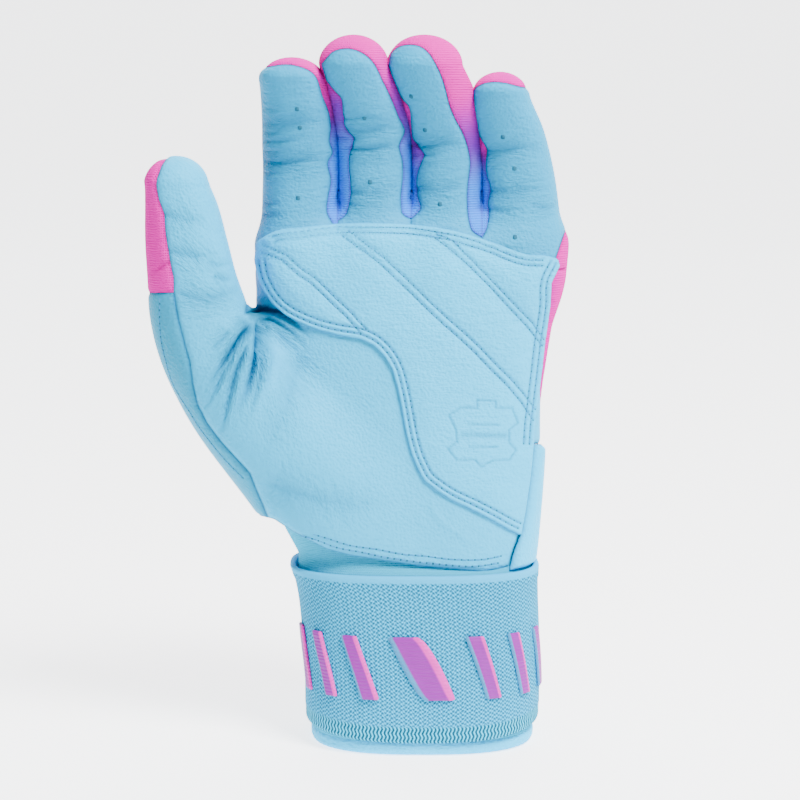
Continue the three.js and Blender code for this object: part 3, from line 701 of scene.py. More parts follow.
# The rest of the outlines of the areas that these seams bound, far outside the glove.
ABOVE_HEM = [(900, 545), (900, -200), (-200, -200), (-200, 512)]
BESIDE_THUMB = [(-200, 293), (-200, 100), (172, 100)]
BESIDE_PALM = [(255, 490), (262, 506), (269, 524), (-200, 524), (-200, 293)]
BESIDE_STRIP = [(900, 574), (900, 444)]

# Vent holes in the finger leathers, in pixels, shown as dark discs of painted shade.
VENTS = {
    "index": [(297, 109), (300, 128), (298, 198)],
    "middle": [(364.5, 119), (370, 182)],
    "ring": [(411, 96.5), (425, 130), (440, 204)],
    "little": [(503, 137), (514.5, 168.5), (515, 237)],
}

# Folds: points of the view, width and depth in millimetres. Negative depths stand proud. Folds that dip are
# also darkened with painted shade.
FOLDS = [
    ([(254, 322), (243, 334), (231, 352), (220, 368), (203, 392)], 1.4, 1.8),
    ([(258, 316), (260, 337), (257, 358), (251, 380), (242, 402), (232, 420)], 1.7, 2.9),
    ([(250, 340), (240, 362), (231, 390), (225, 415), (216, 450)], 0.9, 1.3),
    ([(238, 350), (222, 376), (212, 396), (198, 420)], 0.7, 0.8),
    ([(262, 338), (262, 362), (256, 392), (246, 420)], 0.8, 0.9),
    ([(230, 330), (216, 346), (204, 356)], 0.8, 0.5),
    ([(246, 306), (265, 309), (281, 315), (296, 325), (316, 345)], 1.4, 1.8),
    ([(262, 316), (282, 326), (300, 342), (312, 358)], 0.8, 0.8),
    ([(256, 318), (274, 322), (290, 336)], 0.9, 0.7),
    ([(268, 345), (266, 372), (258, 402), (247, 440)], 3.0, -0.9),
    ([(246, 348), (240, 366), (231, 392)], 1.6, -0.7),
    ([(300, 350), (292, 390), (276, 430), (258, 470)], 4.5, 0.35),
    ([(428, 500), (440, 520), (470, 540), (500, 552)], 2.4, -0.5),
    ([(330, 490), (370, 470), (400, 462)], 4.0, -0.3),
    ([(258, 480), (300, 496), (350, 505), (410, 500)], 4.0, 0.4),
    ([(250, 108), (266, 110), (290, 107)], 0.9, 0.3),
    ([(250, 130), (268, 133), (300, 130)], 0.9, 0.4),
    ([(250, 138), (268, 141), (312, 139)], 0.9, 0.45),
    ([(255, 122), (285, 125), (305, 122), (338, 126)], 2.6, 0.5),
    ([(335, 120), (362, 118), (392, 121)], 0.9, 0.4),
    ([(335, 136), (355, 139), (380, 137)], 0.9, 0.45),
    ([(345, 204), (366, 207), (392, 205)], 0.9, 0.35),
    ([(474, 208), (500, 211), (530, 208)], 0.9, 0.35),
    ([(255, 160), (288, 164), (310, 160), (340, 163)], 2.2, 0.75),
    ([(255, 149), (270, 152), (292, 150)], 0.9, 0.45),
    ([(255, 171), (272, 174), (290, 172)], 0.9, 0.45),
    ([(255, 200), (268, 204), (284, 203)], 0.9, 0.5),
    ([(255, 212), (270, 216), (290, 214)], 0.9, 0.5),
    ([(340, 128), (365, 132), (390, 128), (410, 131)], 2.4, 0.5),
    ([(340, 146), (370, 150), (386, 147), (410, 149)], 1.5, 0.75),
    ([(345, 192), (368, 195), (386, 192), (408, 194)], 2.2, 0.5),
    ([(405, 143), (430, 147), (448, 144), (472, 148)], 2.2, 0.7),
    ([(410, 153), (432, 156), (452, 153)], 0.9, 0.4),
    ([(410, 188), (436, 191), (452, 188), (474, 190)], 2.2, 0.5),
    ([(478, 150), (500, 152), (521, 149), (550, 152)], 2.2, 0.6),
    ([(482, 190), (508, 193), (530, 189), (560, 191)], 2.2, 0.5),
    ([(530, 205), (545, 207), (562, 204)], 0.9, 0.4),
    ([(170, 262), (160, 268), (148, 276)], 1.1, 0.8),
    ([(160, 213), (185, 221), (214, 218)], 2.4, 0.4),
    ([(165, 250), (192, 257), (230, 251)], 2.2, 0.55),
    ([(205, 262), (220, 266), (236, 262)], 0.8, 0.4),
    ([(212, 276), (226, 280), (240, 277)], 0.8, 0.45),
    ([(172, 290), (200, 300), (236, 292), (262, 290)], 2.6, 0.5),
]
FOLD_POINTS = 14
FOLD_ROUNDING = 0.2

# The web beside the thumb in pixels, where its wrinkles spread from, and their mean reach in millimetres.
WEB = (252.0, 314.0)
WEB_REACH = 22.0

# Lines between the fingers, and the heights or the point where each bends.
DIVIDES = [("index", "middle"), ("middle", "ring"), ("ring", "little")]
BEND_HEIGHTS = {"index": 183.5, "middle": 190.0, "ring": 186.0, "little": 178.0}
THUMB_LINE_X, THUMB_LINE_Z = -47.6, 137.0
THUMB_TIP_X = -40.0

# Panel borders as heights in millimetres: the knuckle crease, the leather's and the knit's cut at the
# fingers' roots, the side patch's top and the binding's foot.
KNUCKLE_LINE = 139.0
FRONT_CUT = 152.0
BACK_CUT = 168.0
SIDE_PATCH_TOP = 150.0
BINDING_FOOT = 57.5
SIDE_SEAM_DEPTH, SIDE_SEAM_FORWARD = 3.5, 8.5
BINDING_DEPTH, SIDE_PATCH_DEPTH = 6, 7
BACK_FOOT, BACK_FOOT_RISE = 50, 22

# How far panels turn in at their seams, over what width, and the shade there.
LIP_WIDTH = 0.9
KNUCKLE_LIP, BACK_LIP, FINGER_LIP, SIDE_LIP, BINDING_LIP = 0.3, 0.5, 0.4, 0.25, 1.5
BINDING_RISE = 1.9
SEAM_SHADE, SEAM_SHADE_WIDTH = 0.65, 0.45
FINGER_WRINKLES = 0.1

# The knit sides' colours: heights where azure turns to violet, distances below the top where violet turns to
# pink, and how far both move up on each finger. The violet is partly the knit's own colour and partly
# painted shade in the gaps between the fingers, which is why it reaches higher beside the index and middle
# fingers.
AZURE_END = (176, 192)
PINK_START = (34, 16)
TINT_SHIFT = {"index": 10.0, "middle": 10.0, "ring": 0.0, "little": 0.0}

# Between two fingers their own panels overlap by this much, and each seam is eased over this many points.
FINGER_OVERLAP = 0.2
FINGER_SEAM_POINTS = 150

# Columns of a skin's table.
POINT, PIXELS, SLOPE = slice(0, 3), slice(3, 5), slice(5, 8)
RELIEF, CREASE, WRINKLED, EDGE = 8, 9, 10, 11


class Skin:
    """A net of the palm or of one finger with what every panel needs at its points: places, view pixels,
    slopes, relief, painted crease shade and wrinkles."""

    def __init__(self, own=None):
        corners = PALM_NET
        if own is not None:
            middle, _, half, _ = FINGERS[own].sizes(FINGER_NET_HEIGHTS)
            side, front, foot = FINGER_NET_LOW
            other_side, back, above = FINGER_NET_HIGH
            corners = (
                ((middle - half).min() - side, -front, foot),
                ((middle + half).max() + other_side, back, FINGERS[own].top + above),
            )
        self.own = own
        points, self.triangles = hand_net(*corners, own)
        pixels = seen_at(points)
        slopes = hand_slope(points, own)
        facing = smooth_step(0.0, 0.45, -slopes[:, 1])
        relief, crease, wrinkled = folds_at(pixels, facing)
        self.table = np.concatenate([
            points, pixels, slopes, np.stack([relief, crease, wrinkled], axis=1),
        ], axis=1)
        x, y, z = points.T
        self.x, self.y, self.z, self.pixels = x, y, z, pixels

    def seam_depth(self):
        """Distance behind the side seam: along the fingers' middles, the palm's middle or the thumb's."""
        seam = np.zeros(len(self.x))
        edges = self.divides()
        for k, column in enumerate(FINGERS.values()):
            own = (self.x > edges[k]) & (self.x <= edges[k + 1])
            seam = np.where(own, column.sizes(self.z)[1], seam)
        thumb = smooth_step(112, 132, self.z) * (1 - smooth_step(-53, -46.5, self.x))
        seam = seam * (1 - thumb) + THUMB.sizes(self.z)[1] * thumb
        return self.y - seam

    def divides(self):
        """Middle lines between the fingers at each point's height."""
        lines = [np.full(len(self.x), -1e3)]
        for left, right in DIVIDES:
            a, b = FINGERS[left].sizes(self.z), FINGERS[right].sizes(self.z)
            lines.append((a[0] + a[2] + b[0] - b[2]) / 2)
        return lines + [np.full(len(self.x), 1e3)]


def folds_at(pixels, facing):
    """Relief of the folds, how much painted shade lies in them (crease) and how wrinkled the leather is
    around
    them: each fold dips by depth times exp(-d / (0.55 width)), rounded at its bottom, between two low banks."""
    relief = np.zeros(len(pixels))
    crease = np.zeros(len(pixels))
    wrinkled = np.zeros(len(pixels))
    front = facing > 0
    seen = pixels[front]
    for line, width, depth in FOLDS:
        gap, share = distance_to(rounded(line, FOLD_POINTS), seen)
        gap = gap * PIXEL
        ends = smooth_step(0, 0.12, share) * (1 - smooth_step(0.4, 1, share))
        sharp = np.sqrt(gap * gap + FOLD_ROUNDING * FOLD_ROUNDING) - FOLD_ROUNDING
        dip = np.exp(-sharp / (0.55 * width)) * ends * facing[front]
        bank = np.exp(-((gap - 1.9 * width) / width) ** 2) * ends * facing[front]
        relief[front] += 0.22 * abs(depth) * bank - depth * dip
        if depth > 0:
            # Painted shade in a dipping fold, stronger for deeper folds.
            crease[front] = np.maximum(crease[front], dip * min(1.0, depth * 0.52))
            near = np.exp(-(gap / (3.0 + width)) ** 2) * min(1.0, 0.3 + depth * 0.6) * ends
            wrinkled[front] = np.maximum(wrinkled[front], near)
    return relief, crease, wrinkled


def row_height(x, z, own):
    """Height along the surface, which on a tip's dome is the arc's length, start + dome asin(rise)."""
    column = THUMB if own is None else FINGERS[own]
    start = column.top - column.dome
    rise = np.clip((z - start) / column.dome, 0, 0.995)
    on_tip = (z > start) & ((x < THUMB_TIP_X) | (own is not None))
    return np.where(on_tip, start + column.dome * np.arcsin(rise), z)


def flow_at(points, pixels, row, own):
    """Coordinates whose last one runs across the wrinkles, in metres: height on a finger, and on the palm
    the turn about the web beside the thumb, which the wrinkles spread from."""
    if own is not None:
        return np.stack([points[:, 0], points[:, 1], row], axis=1) * MM
    from_web = (pixels - WEB) * PIXEL
    reach = np.linalg.norm(from_web, axis=1)
    turn = np.arctan2(from_web[:, 0], from_web[:, 1])
    return np.stack([reach, points[:, 1], turn * WEB_REACH], axis=1) * MM


def panel(name, title, skin, field, lip, sunk=0.0):
    """One sewn panel: the skin where the field is below 0, its edge turned in at the seam by
    lip exp(-(d/lip width)^2), with its rest places, flow, painted crease and seam shade, and wrinkles
    stored."""
    table = np.concatenate([skin.table, -field[:, None]], axis=1)
    table, triangles = kept(table, skin.triangles, field)
    edge = np.maximum(table[:, EDGE], 0)
    dip = lip * np.exp(-(edge / LIP_WIDTH) ** 2) + sunk
    points = table[:, POINT] + (table[:, RELIEF] - dip)[:, None] * table[:, SLOPE]
    seam_shade = SEAM_SHADE * np.exp(-(edge / SEAM_SHADE_WIDTH) ** 2)
    row = row_height(points[:, 0], points[:, 2], skin.own)
    thing = new_mesh(name, points, triangles, title)
    set_vector(thing, "rest", points * MM)
    set_vector(thing, "flow", flow_at(points, table[:, PIXELS], row, skin.own))
    set_number(thing, "row", row * MM)
    set_number(thing, "crease", np.clip(table[:, CREASE] + seam_shade, 0, 1))
    wrinkled = table[:, WRINKLED] + (FINGER_WRINKLES if skin.own else 0.0)
    set_number(thing, "wrinkled", np.clip(wrinkled, 0, 1))
    return thing, table


def side_tint(name, table):
    """Which colour a finger's knit sides have: 1 azure at the root, 0.5 violet, 0 pink at the tip and down
    the glove's outer side. The violet is partly painted shade between the fingers."""
    z = table[:, 2] - TINT_SHIFT[name]
    top = FINGERS[name].top
    violet = 0.5 * smooth_step(*AZURE_END, z)
    pink = 0.5 * smooth_step(top - PINK_START[0], top - PINK_START[1], z)
    return np.where(outside(PINK_SIDE, table[:, PIXELS]) < 0.5, 0.0, 1 - violet - pink)


def highest(*fields):
    """Where all the fields are below 0: their common part."""
    return np.maximum.reduce(fields)


def lowest(*fields):
    """Where any of the fields is below 0: their union."""
    return np.minimum.reduce(fields)


def side_seam(x, z):
    """How far behind the side's middle the leather ends, which is less where the knit comes forward on the
    little-finger side."""
    forward = smooth_step(98, 116, z) * (1 - smooth_step(150, 174, z)) * smooth_step(10, 25, x)
    return SIDE_SEAM_DEPTH - SIDE_SEAM_FORWARD * forward


def finger_fields(skin):
    """Leather front, knit sides and knit back of one finger as fields that are below 0 on them."""
    name = skin.own
    x, z = skin.x, skin.z
    side = skin.seam_depth() - side_seam(x, z)
    edges = skin.divides()
    k = list(FINGERS).index(name)
    own = np.where(z < STUB_TOP + 0.5, highest(edges[k] - x, x - edges[k + 1]) - FINGER_OVERLAP, -1e3)
    inside = outside(rounded(FINGER_SEAMS[name], FINGER_SEAM_POINTS), skin.pixels) * PIXEL
    pink = outside(PINK_SIDE, skin.pixels) * PIXEL
    inside = highest(inside, -pink)
    return {
        "leather": highest(inside, side, FRONT_CUT - z, own),
        "side": highest(-inside, side, FRONT_CUT - z, own),
        "back": highest(-side, BACK_CUT - z, own),
    }


def palm_fields(skin):
    """The border of every panel below the fingers as a field that is below 0 on it, in millimetres."""
    x, z = skin.x, skin.z
    depth = skin.seam_depth()

    def area(outline):
        return outside(outline, skin.pixels) * PIXEL

    behind = side_seam(x, z) - depth
    side = highest(-behind, -area(PINK_SIDE))
    thumb = highest(x - THUMB_LINE_X, THUMB_LINE_Z - z)
    hem = area(HEM + ABOVE_HEM)
    pink_strip = area(THUMB_SEAM + BESIDE_THUMB)
    side_strip = area(SIDE_SEAM[:-1] + BESIDE_PALM)
    binding = highest(area(STRIP_EDGE + BESIDE_STRIP), depth - BINDING_DEPTH)
    side_patch = highest(side_strip, depth - SIDE_PATCH_DEPTH, z - SIDE_PATCH_TOP, hem)
    back_foot = BACK_FOOT + BACK_FOOT_RISE * (1 - smooth_step(-40, -10, x))
    back_top = lowest(z - FRONT_CUT, highest(behind, z - BACK_CUT))
    below_knuckles = lowest(z - KNUCKLE_LINE, thumb)
    return {
        "palm_leather": highest(side, hem, below_knuckles, -pink_strip, -side_patch, -binding),
        "knuckle_leather": highest(side, KNUCKLE_LINE - z, z - FRONT_CUT, -thumb),
        "thumb_side_patch": side_patch,
        "slit_binding": highest(binding, BINDING_FOOT - z),
        "thumb_back": highest(lowest(-side, pink_strip), thumb, -side_patch),
        "hand_back": highest(-side, -thumb, back_top, -side_patch, -binding, back_foot - z),
    }


# The patch: points down and across it, its wall and the heights of what is pressed and sewn into it.
PATCH_ROWS = 210
PATCH_COLUMNS = 190
PATCH_WALL = 1.15
PATCH_EDGE = 1.1
PILLOW_RISE, PILLOW_REACH = 0.5, 3.2
GROOVE_DEPTH, GROOVE_WIDTH = 0.32, 0.55
STAMP_DEPTH, STAMP_WIDTH = 0.3, 0.38
EDGE_ROWS = (5.5, 11.0)

# Rows of stitches and the stamp's outline and bars, in pixels. Each bar has its width in millimetres.
LONG_ROW = [(347.5, 230), (366, 244), (383, 257), (399, 272), (415, 287), (430, 302), (446, 317), (463, 332),
            (479, 347), (495, 364), (511, 380), (524, 396), (533, 409)]
LONG_ROW_LOW = [(341, 235), (361, 249), (378, 262), (394, 277), (410, 292), (425, 307), (441, 322),
                (458, 337),
                (474, 352), (490, 369), (506, 385), (519, 401), (531, 420)]
SHORT_ROW = [(435, 234), (451, 240), (467, 256), (483, 272), (499, 288), (515, 305), (531, 322),
             (541.5, 339)]
SHORT_ROW_LOW = [(430, 235), (446, 246), (459, 257), (475, 272), (492, 289), (507.5, 306), (524, 324),
                 (540, 345)]
LEFT_ROW = [(265, 245), (287, 255), (302, 269), (314, 277), (327, 289), (337, 299), (350, 311), (357, 319),
            (366, 329)]
LEFT_ROW_LOW = [(264, 252), (283, 260), (298, 274), (310, 282), (323, 294), (333, 304), (346, 316),
                (353, 324),
                (361, 333)]
STAMP = [(476, 400), (494, 401), (494, 408), (510, 408), (516, 423), (507, 430), (507, 442), (514, 450),
         (507, 460), (492, 460), (480, 467), (474, 460), (456, 460), (447, 449), (456, 442), (455, 430),
         (448, 415), (460, 408), (476, 408)]
STAMP_BARS = [([(467, 424), (497, 425)], 0.35), ([(462, 435), (502, 436)], 0.9), ([(468, 447),
              (495, 447)], 0.35)]
HEM_ROW = [(299.5, 535.5), (316, 540), (338, 548), (360, 552), (383, 557), (414, 561.5), (437, 564),
           (480, 566), (498, 563)]
HEM_ROW_HIGH = [(312, 534), (326, 538), (348, 545), (378, 549.5), (401, 554), (424, 556), (454, 559.5),
                (486, 559), (501, 556)]
SIDE_ROW = [(160, 297), (159.5, 318), (161, 340), (166, 362), (172, 382), (180, 397), (189, 411), (199, 427),
            (211, 443), (226, 461), (243, 478)]


def patch_outline():
    """The patch's border once round."""
    return PATCH_TOP + PATCH_RIGHT[1:] + PATCH_LEFT[-2:0:-1]


def inset(line, by):
    """The line moved to its right by a number of pixels, eased."""
    line = rounded(line, 60)
    way = np.gradient(line, axis=0)
    way /= np.linalg.norm(way, axis=1, keepdims=True)
    return line + by * np.stack([-way[:, 1], way[:, 0]], axis=1)


def patch_rows():
    """Every row of stitches on the patch."""
    rows = [LONG_ROW, LONG_ROW_LOW, SHORT_ROW, SHORT_ROW_LOW, LEFT_ROW, LEFT_ROW_LOW]
    rows = [np.array(row, float) for row in rows]
    for by in EDGE_ROWS:
        rows += [inset(PATCH_TOP, by)[3:-3], inset(PATCH_RIGHT[1:9], by), inset(PATCH_LEFT[1:], -by)[:-1]]
    return rows


def patch_height(pixels):
    """Height of the patch over the hand: its wall with a rounded edge, pillows between the stitch rows, a
    groove along each row and the stamped shape; and the painted shade (crease) at its edge, in each groove
    and in the stamped shape."""
    edge = -outside(patch_outline(), pixels) * PIXEL
    open_edge = np.clip(edge / PATCH_EDGE, 0, 1)
    height = PATCH_WALL * np.sqrt(np.maximum(1 - (1 - open_edge) ** 2, 0)) - 0.3 * (edge < 0.02)
    crease = 0.6 * np.exp(-(edge / 0.5) ** 2)
    nearest = np.full(len(pixels), 1e3)
    for row in patch_rows():
        gap, _ = distance_to(row, pixels)
        nearest = np.minimum(nearest, gap * PIXEL)
    height += PILLOW_RISE * (1 - np.exp(-(nearest / PILLOW_REACH) ** 2)) * open_edge
    height -= GROOVE_DEPTH * np.exp(-(nearest / GROOVE_WIDTH) ** 2)
    crease = np.maximum(crease, 0.45 * np.exp(-(nearest / 0.45) ** 2))
    for line, width in [(STAMP + STAMP[:1], STAMP_WIDTH)] + STAMP_BARS:
        gap, _ = distance_to(line, pixels)
        dip = np.exp(-(gap * PIXEL / width) ** 2)
        height -= STAMP_DEPTH * dip
        crease = np.maximum(crease, 0.4 * dip)
    return height, crease


# A line of sight is followed from this far in front of the hand, by steps that are a share of the form's
# value.
CAST_START = 42.0
CAST_STEPS = 40
CAST_SHARE = 0.8


def cast(pixels):
    """Where each line of sight first meets the hand."""
    start, way = sight_lines(pixels)
    reach = np.full(pixels.shape[:-1], DISTANCE - CAST_START)
    for _ in range(CAST_STEPS):
        reach = reach + CAST_SHARE * hand_value_at(start + reach[..., None] * way)
    return start + reach[..., None] * way


def on_patch(pixels):
    """Points on the patch's outer face, the outward slopes there and its painted shade at the edge, grooves
    and stamp.
    """
    points = cast(pixels)
    slopes = hand_slope(points)
    height, crease = patch_height(pixels)
    return points + height[:, None] * slopes, slopes, crease


def make_patch(name):
    """p(u, v) = (1 - u) left(v) + u right(v) + (1 - v)^2 (top(u) - straight(u)) on the view, cast onto the
    hand and raised by the patch's height."""
    v = np.linspace(0, 0.992, PATCH_ROWS) ** 0.9
    u = 0.5 - 0.5 * np.cos(np.pi * np.linspace(0, 1, PATCH_COLUMNS))
    u = 0.35 * u + 0.65 * np.linspace(0, 1, PATCH_COLUMNS)
    left, right = along(PATCH_LEFT, v), along(PATCH_RIGHT, v)
    top = along(PATCH_TOP, u)
    straight = (1 - u)[:, None] * np.array(PATCH_LEFT[0]) + u[:, None] * np.array(PATCH_RIGHT[0])
    pixels = (
        (1 - u)[None, :, None] * left[:, None] + u[None, :, None] * right[:, None]
        + ((1 - v) ** 2)[:, None, None] * (top - straight)[None]
    ).reshape(-1, 2)
    points, _, crease = on_patch(pixels)
    faces = grid_faces(PATCH_ROWS, PATCH_COLUMNS)[:, ::-1]
    thing = new_mesh(name, points, faces, "Palm patch")
    set_vector(thing, "rest", points * MM)
    set_vector(thing, "flow", points * MM)
    set_number(thing, "crease", crease)
    set_number(thing, "wrinkled", np.full(len(crease), 0.12))
    return thing


# Stitches, and dark capsules of painted shade for the holes: length, width and height in millimetres, and a
# capsule's rings as shares of its length and of its width.
STITCH = (1.5, 0.42, 0.42)
NEEDLE_HOLE = (0.62, 0.6, 0.34)
VENT_HOLE = (1.5, 1.35, 0.3)
HOLE_SINK = 0.02
CAPSULE_SIDES = 6
CAPSULE_SHARES = [(-0.5, 0.25), (-0.34, 1.0), (0.34, 1.0), (0.5, 0.25)]

# Wrist sections: height, middle x, half width, half depth. Angles round the wrist: 0 the palm side, 90 the
# little-finger side, -90 the thumb side.
WRIST = np.array([
    (0, 7.2, 35.6, 27.2), (30.0, 6.9, 35.9, 25.6), (56.9, 4.6, 37.6, 23.6), (72.0, 1.6, 42.0, 21.8),
    (95.0, -0.4, 45.4, 19.4),
])
WRIST_POWER = 2.7

# Bands round the wrist: lower and upper height, and how far their inner and outer faces stand off the wrist.
CUFF = {"low": 3.6, "high": 74.0, "inner": -1.9, "outer": 0.0}
RIM = {"low": 1.7, "high": 3.4, "inner": -2.9, "outer": 0.35}
STRAP = {"low": 8.0, "high": 56.4, "inner": 0.45, "outer": 2.35}
LOOP_PILE = {"low": 13.4, "high": 51.0, "inner": 2.45, "outer": 3.4}
HOOK_PILE = {"low": 13.4, "high": 51.0, "inner": 3.75, "outer": 4.7}
RIB = {"low": 19.2, "high": 45.2, "inner": 6.3, "outer": 7.35}
SLASH = {"low": 19.0, "high": 38.0, "inner": 2.2, "outer": 3.3}
TAB_INNER, TAB_OUTER = 4.85, 6.45

# Where the bands end, in degrees, the turn from row to row, the strap's sag at the palm side, and the count,
# pitch, half turn, rows and lean of the slashes. The lean is in degrees for each millimetre of height.
STRAP_FIRST, STRAP_LAST = 168.0, -120.0
FLAP_END = -187.0
TAB_END = -236.0
BAND_TURN = 1.5
STRAP_SAG = 2.6
SLASH_COUNT = 7
SLASH_PITCH = 24.0
SLASH_HALF = 4.75
SLASH_ROWS = 20
SLASH_LEAN = -0.5
LOOP_PILE_START, LOOP_PILE_END = 113.5, 162.5
HOOK_PILE_START, HOOK_PILE_END = -223.8, -192.0
RIB_START, RIB_PITCH, RIB_TURN = 1.0, 1.4, 0.8

# The flap climbs over the strap's other end from an angle and over a turn. The tab laps the flap's end by an
# angle, and narrows towards its own end.
CLIMB_START, CLIMB_TURN, FLAP_RISE = -164, 18, 4.4
TAB_LAP, TAB_NARROWING = 3.0, 6.0


def wrist_at(angle, z, offset):
    """Superellipse |x/a|^2.7 + |y/d|^2.7 = 1 about the wrist's middle, grown by the offset."""
    turn = np.radians(angle)
    middle, half, deep = (eased(WRIST[:, 0], WRIST[:, k], z) for k in (1, 2, 3))
    s, c = np.sin(turn), np.cos(turn)
    x = middle + (half + offset) * np.sign(s) * np.abs(s) ** (2 / WRIST_POWER)
    y = -(deep + offset) * np.sign(c) * np.abs(c) ** (2 / WRIST_POWER)
    return np.stack([x, y, z + 0 * x], axis=-1)


def cuff_offset(angle, z):
    """The cuff draws in under the leather above the strap."""
    return -2.2 * smooth_step(56, 61, z) - 0.35 * np.sin(np.radians(angle * 5)) * smooth_step(57, 60, z)


def rim_relief(angle, z):
    """The rim's binding has fine gathers."""
    return 0.12 * np.sin(np.radians(angle * 60))


def strap_relief(angle, z):
    """The strap waves a little, with a raised selvedge above and a thin edge below."""
    wave = 0.18 * np.sin(np.radians(angle * 4.2)) * np.sin(z / 9.0)
    return wave + 0.25 * smooth_step(52.6, 53.6, z) - 0.2 * (1 - smooth_step(11, 12, z))


def tab_relief(angle, z):
    """The tab bulges across its width."""
    return 0.3 * np.sin(np.clip((z - 8) / 48, 0, 1) * np.pi) - 0.15


def section_loop(steps, rounds):
    """A band's cross-section once round: height share, depth share from the inside (0) to the outside (1)
    and the corner share, with half-round edges."""
    up = np.linspace(0, 1, steps)
    bend = np.linspace(0, 1, rounds + 2)[1:-1] * np.pi
    height = np.concatenate([up, np.ones(rounds), up[::-1], np.zeros(rounds)])
    depth = np.concatenate([np.ones(steps), (1 + np.cos(bend)) / 2, np.zeros(steps), (1 - np.cos(bend)) / 2])
    bulge = np.concatenate([np.zeros(steps), np.sin(bend), np.zeros(steps), -np.sin(bend)])
    return height, depth, bulge


def evened(turn):
    """The same angles from first to last row, spaced evenly across the wrist's front."""
    root = np.sin(np.radians(turn))
    root = np.sign(root) * np.abs(root) ** (2 / WRIST_POWER)
    share = np.linspace(0, 1, len(turn))[:, None]
    root = root[:1] + (root[-1:] - root[:1]) * share
    return np.degrees(np.arcsin(np.sign(root) * np.abs(root) ** (WRIST_POWER / 2)))


def band(name, title, angles, low, high, inner, outer, closed=False, steps=24, relief=None, lean=0.0,
         sag=0.0, extra=None):
    """A band round the wrist: its cross-section is carried along the angles between two heights and two
    offsets; the ends close on their middle line. relief(angle, height) adds to the outer face."""
    angles = np.asarray(angles, float)
    height, depth, bulge = section_loop(steps, 3)
    low, high = np.broadcast_to(low, angles.shape), np.broadcast_to(high, angles.shape)
    inner, outer = np.broadcast_to(inner, angles.shape), np.broadcast_to(outer, angles.shape)
    wall = (outer - inner)[:, None]
    if not closed:
        ease = np.ones(len(angles))
        ease[[0, -1]] = 0.0
        ease[[1, -2]] = 0.75
        wall = wall * ease[:, None]
    middle = ((inner + outer) / 2)[:, None]
    z = low[:, None] + (high - low)[:, None] * height + bulge * np.abs(wall) / 2
    turn = angles[:, None] + lean * (z - ((low + high) / 2)[:, None])
    if lean:
        turn = evened(turn)
    facing = np.maximum(np.cos(np.radians(turn)), 0)
    offset = middle + (depth - 0.5) * wall
    if relief is not None:
        offset = offset + depth * relief(turn, z)
    if extra is not None:
        offset = offset + extra(turn, z)
    points = wrist_at(turn, z, offset)
    points[..., 2] -= sag * (1 - height) * facing * facing
    faces = grid_faces(len(angles), len(height), close_rows=closed, close_columns=True)
    faces = faces if angles[-1] > angles[0] else faces[:, ::-1]
    thing = new_mesh(name, points.reshape(-1, 3), faces, title)
    steps_along = np.linalg.norm(np.diff(points[:, :1], axis=0), axis=2)
    run = np.concatenate([[[0.0]], np.cumsum(steps_along, axis=0)]) + 0 * turn
    set_vector(thing, "rest", points.reshape(-1, 3) * MM)
    set_vector(thing, "flow", points.reshape(-1, 3) * MM)
    set_number(thing, "row", points[..., 2] * MM)
    set_vector(thing, "way", np.stack([run, z, depth + 0 * z], axis=-1).reshape(-1, 3) * MM)
    set_number(thing, "share", height + 0 * z)
    set_number(thing, "crease", np.zeros(z.size))
    set_number(thing, "wrinkled", np.full(z.size, 0.1))
    return thing


def fuzz_wave(look, rest):
    """Small uneven shifts of the knitted rows."""
    return (look.noise(rest, 500.0) - 0.5) * 2.4


# The elastic's pattern: the distances in metres from column to column, row to row and tooth to tooth, and
# the shares of its height where the toothed edge ends and the selvedge starts.
COLUMN_PITCH = 0.00147
ROW_PITCH = 0.00125
TOOTH_PITCH = 0.0012
TEETH = (0.075, 0.095)
SELVEDGE = (0.972, 0.98)


def elastic_look(name, base, low, edge, dots, loops):
    """Knitted elastic: columns of small dots, a smooth upper selvedge and a toothed lower edge."""
    look = Look(name)
    u, v, _ = look.axes(look.vector("way"))
    share = look.number("share")
    rest = look.vector("rest")
    column = (u * (2 * math.pi / COLUMN_PITCH)).sine()
    shift = (u * (math.pi / COLUMN_PITCH)).sine() * 1.3
    row = (v * (2 * math.pi / ROW_PITCH) + shift + fuzz_wave(look, rest)).sine()
    fuzz = look.noise(rest, 2800.0, 2.0, 0.6)
    cloud = look.noise(rest, 60.0)
    body = share.step(*TEETH) * (1 - share.step(*SELVEDGE))
    dot = (column * row).step(0.15, 0.7) * body
    light = (-column * row).step(0.3, 0.9) * body
    lean = (v * (math.pi / TOOTH_PITCH)).sine() * 1.2
    teeth = (u * (2 * math.pi / TOOTH_PITCH) + lean).sine()
    lower = 1 - share.step(*TEETH)
    shade = (0.3 + (cloud - 0.5) * 0.5 + (fuzz - 0.5) * 0.5 - column * 0.1 * body).held()
    colour = look.mix(shade, base, low)
    colour = look.mix(dot * 0.8, colour, dots)
    colour = look.mix(light * 0.8, colour, loops)
    colour = look.mix(share.step(*SELVEDGE) * 0.8, colour, edge)
    colour = look.mix((lower * (0.5 - teeth * 0.6)).held(), colour, dots)
    colour = look.mix((lower * (0.4 + teeth * 0.6)).held(), colour, loops)
    height = (column * 0.4 - dot * 0.8 + light * 0.4) * body + fuzz * 0.25 + lower * teeth * 0.9
    return look.finish(colour, 0.7 + dot * 0.1, height, 0.0004, Specular_IOR_Level=0.1)


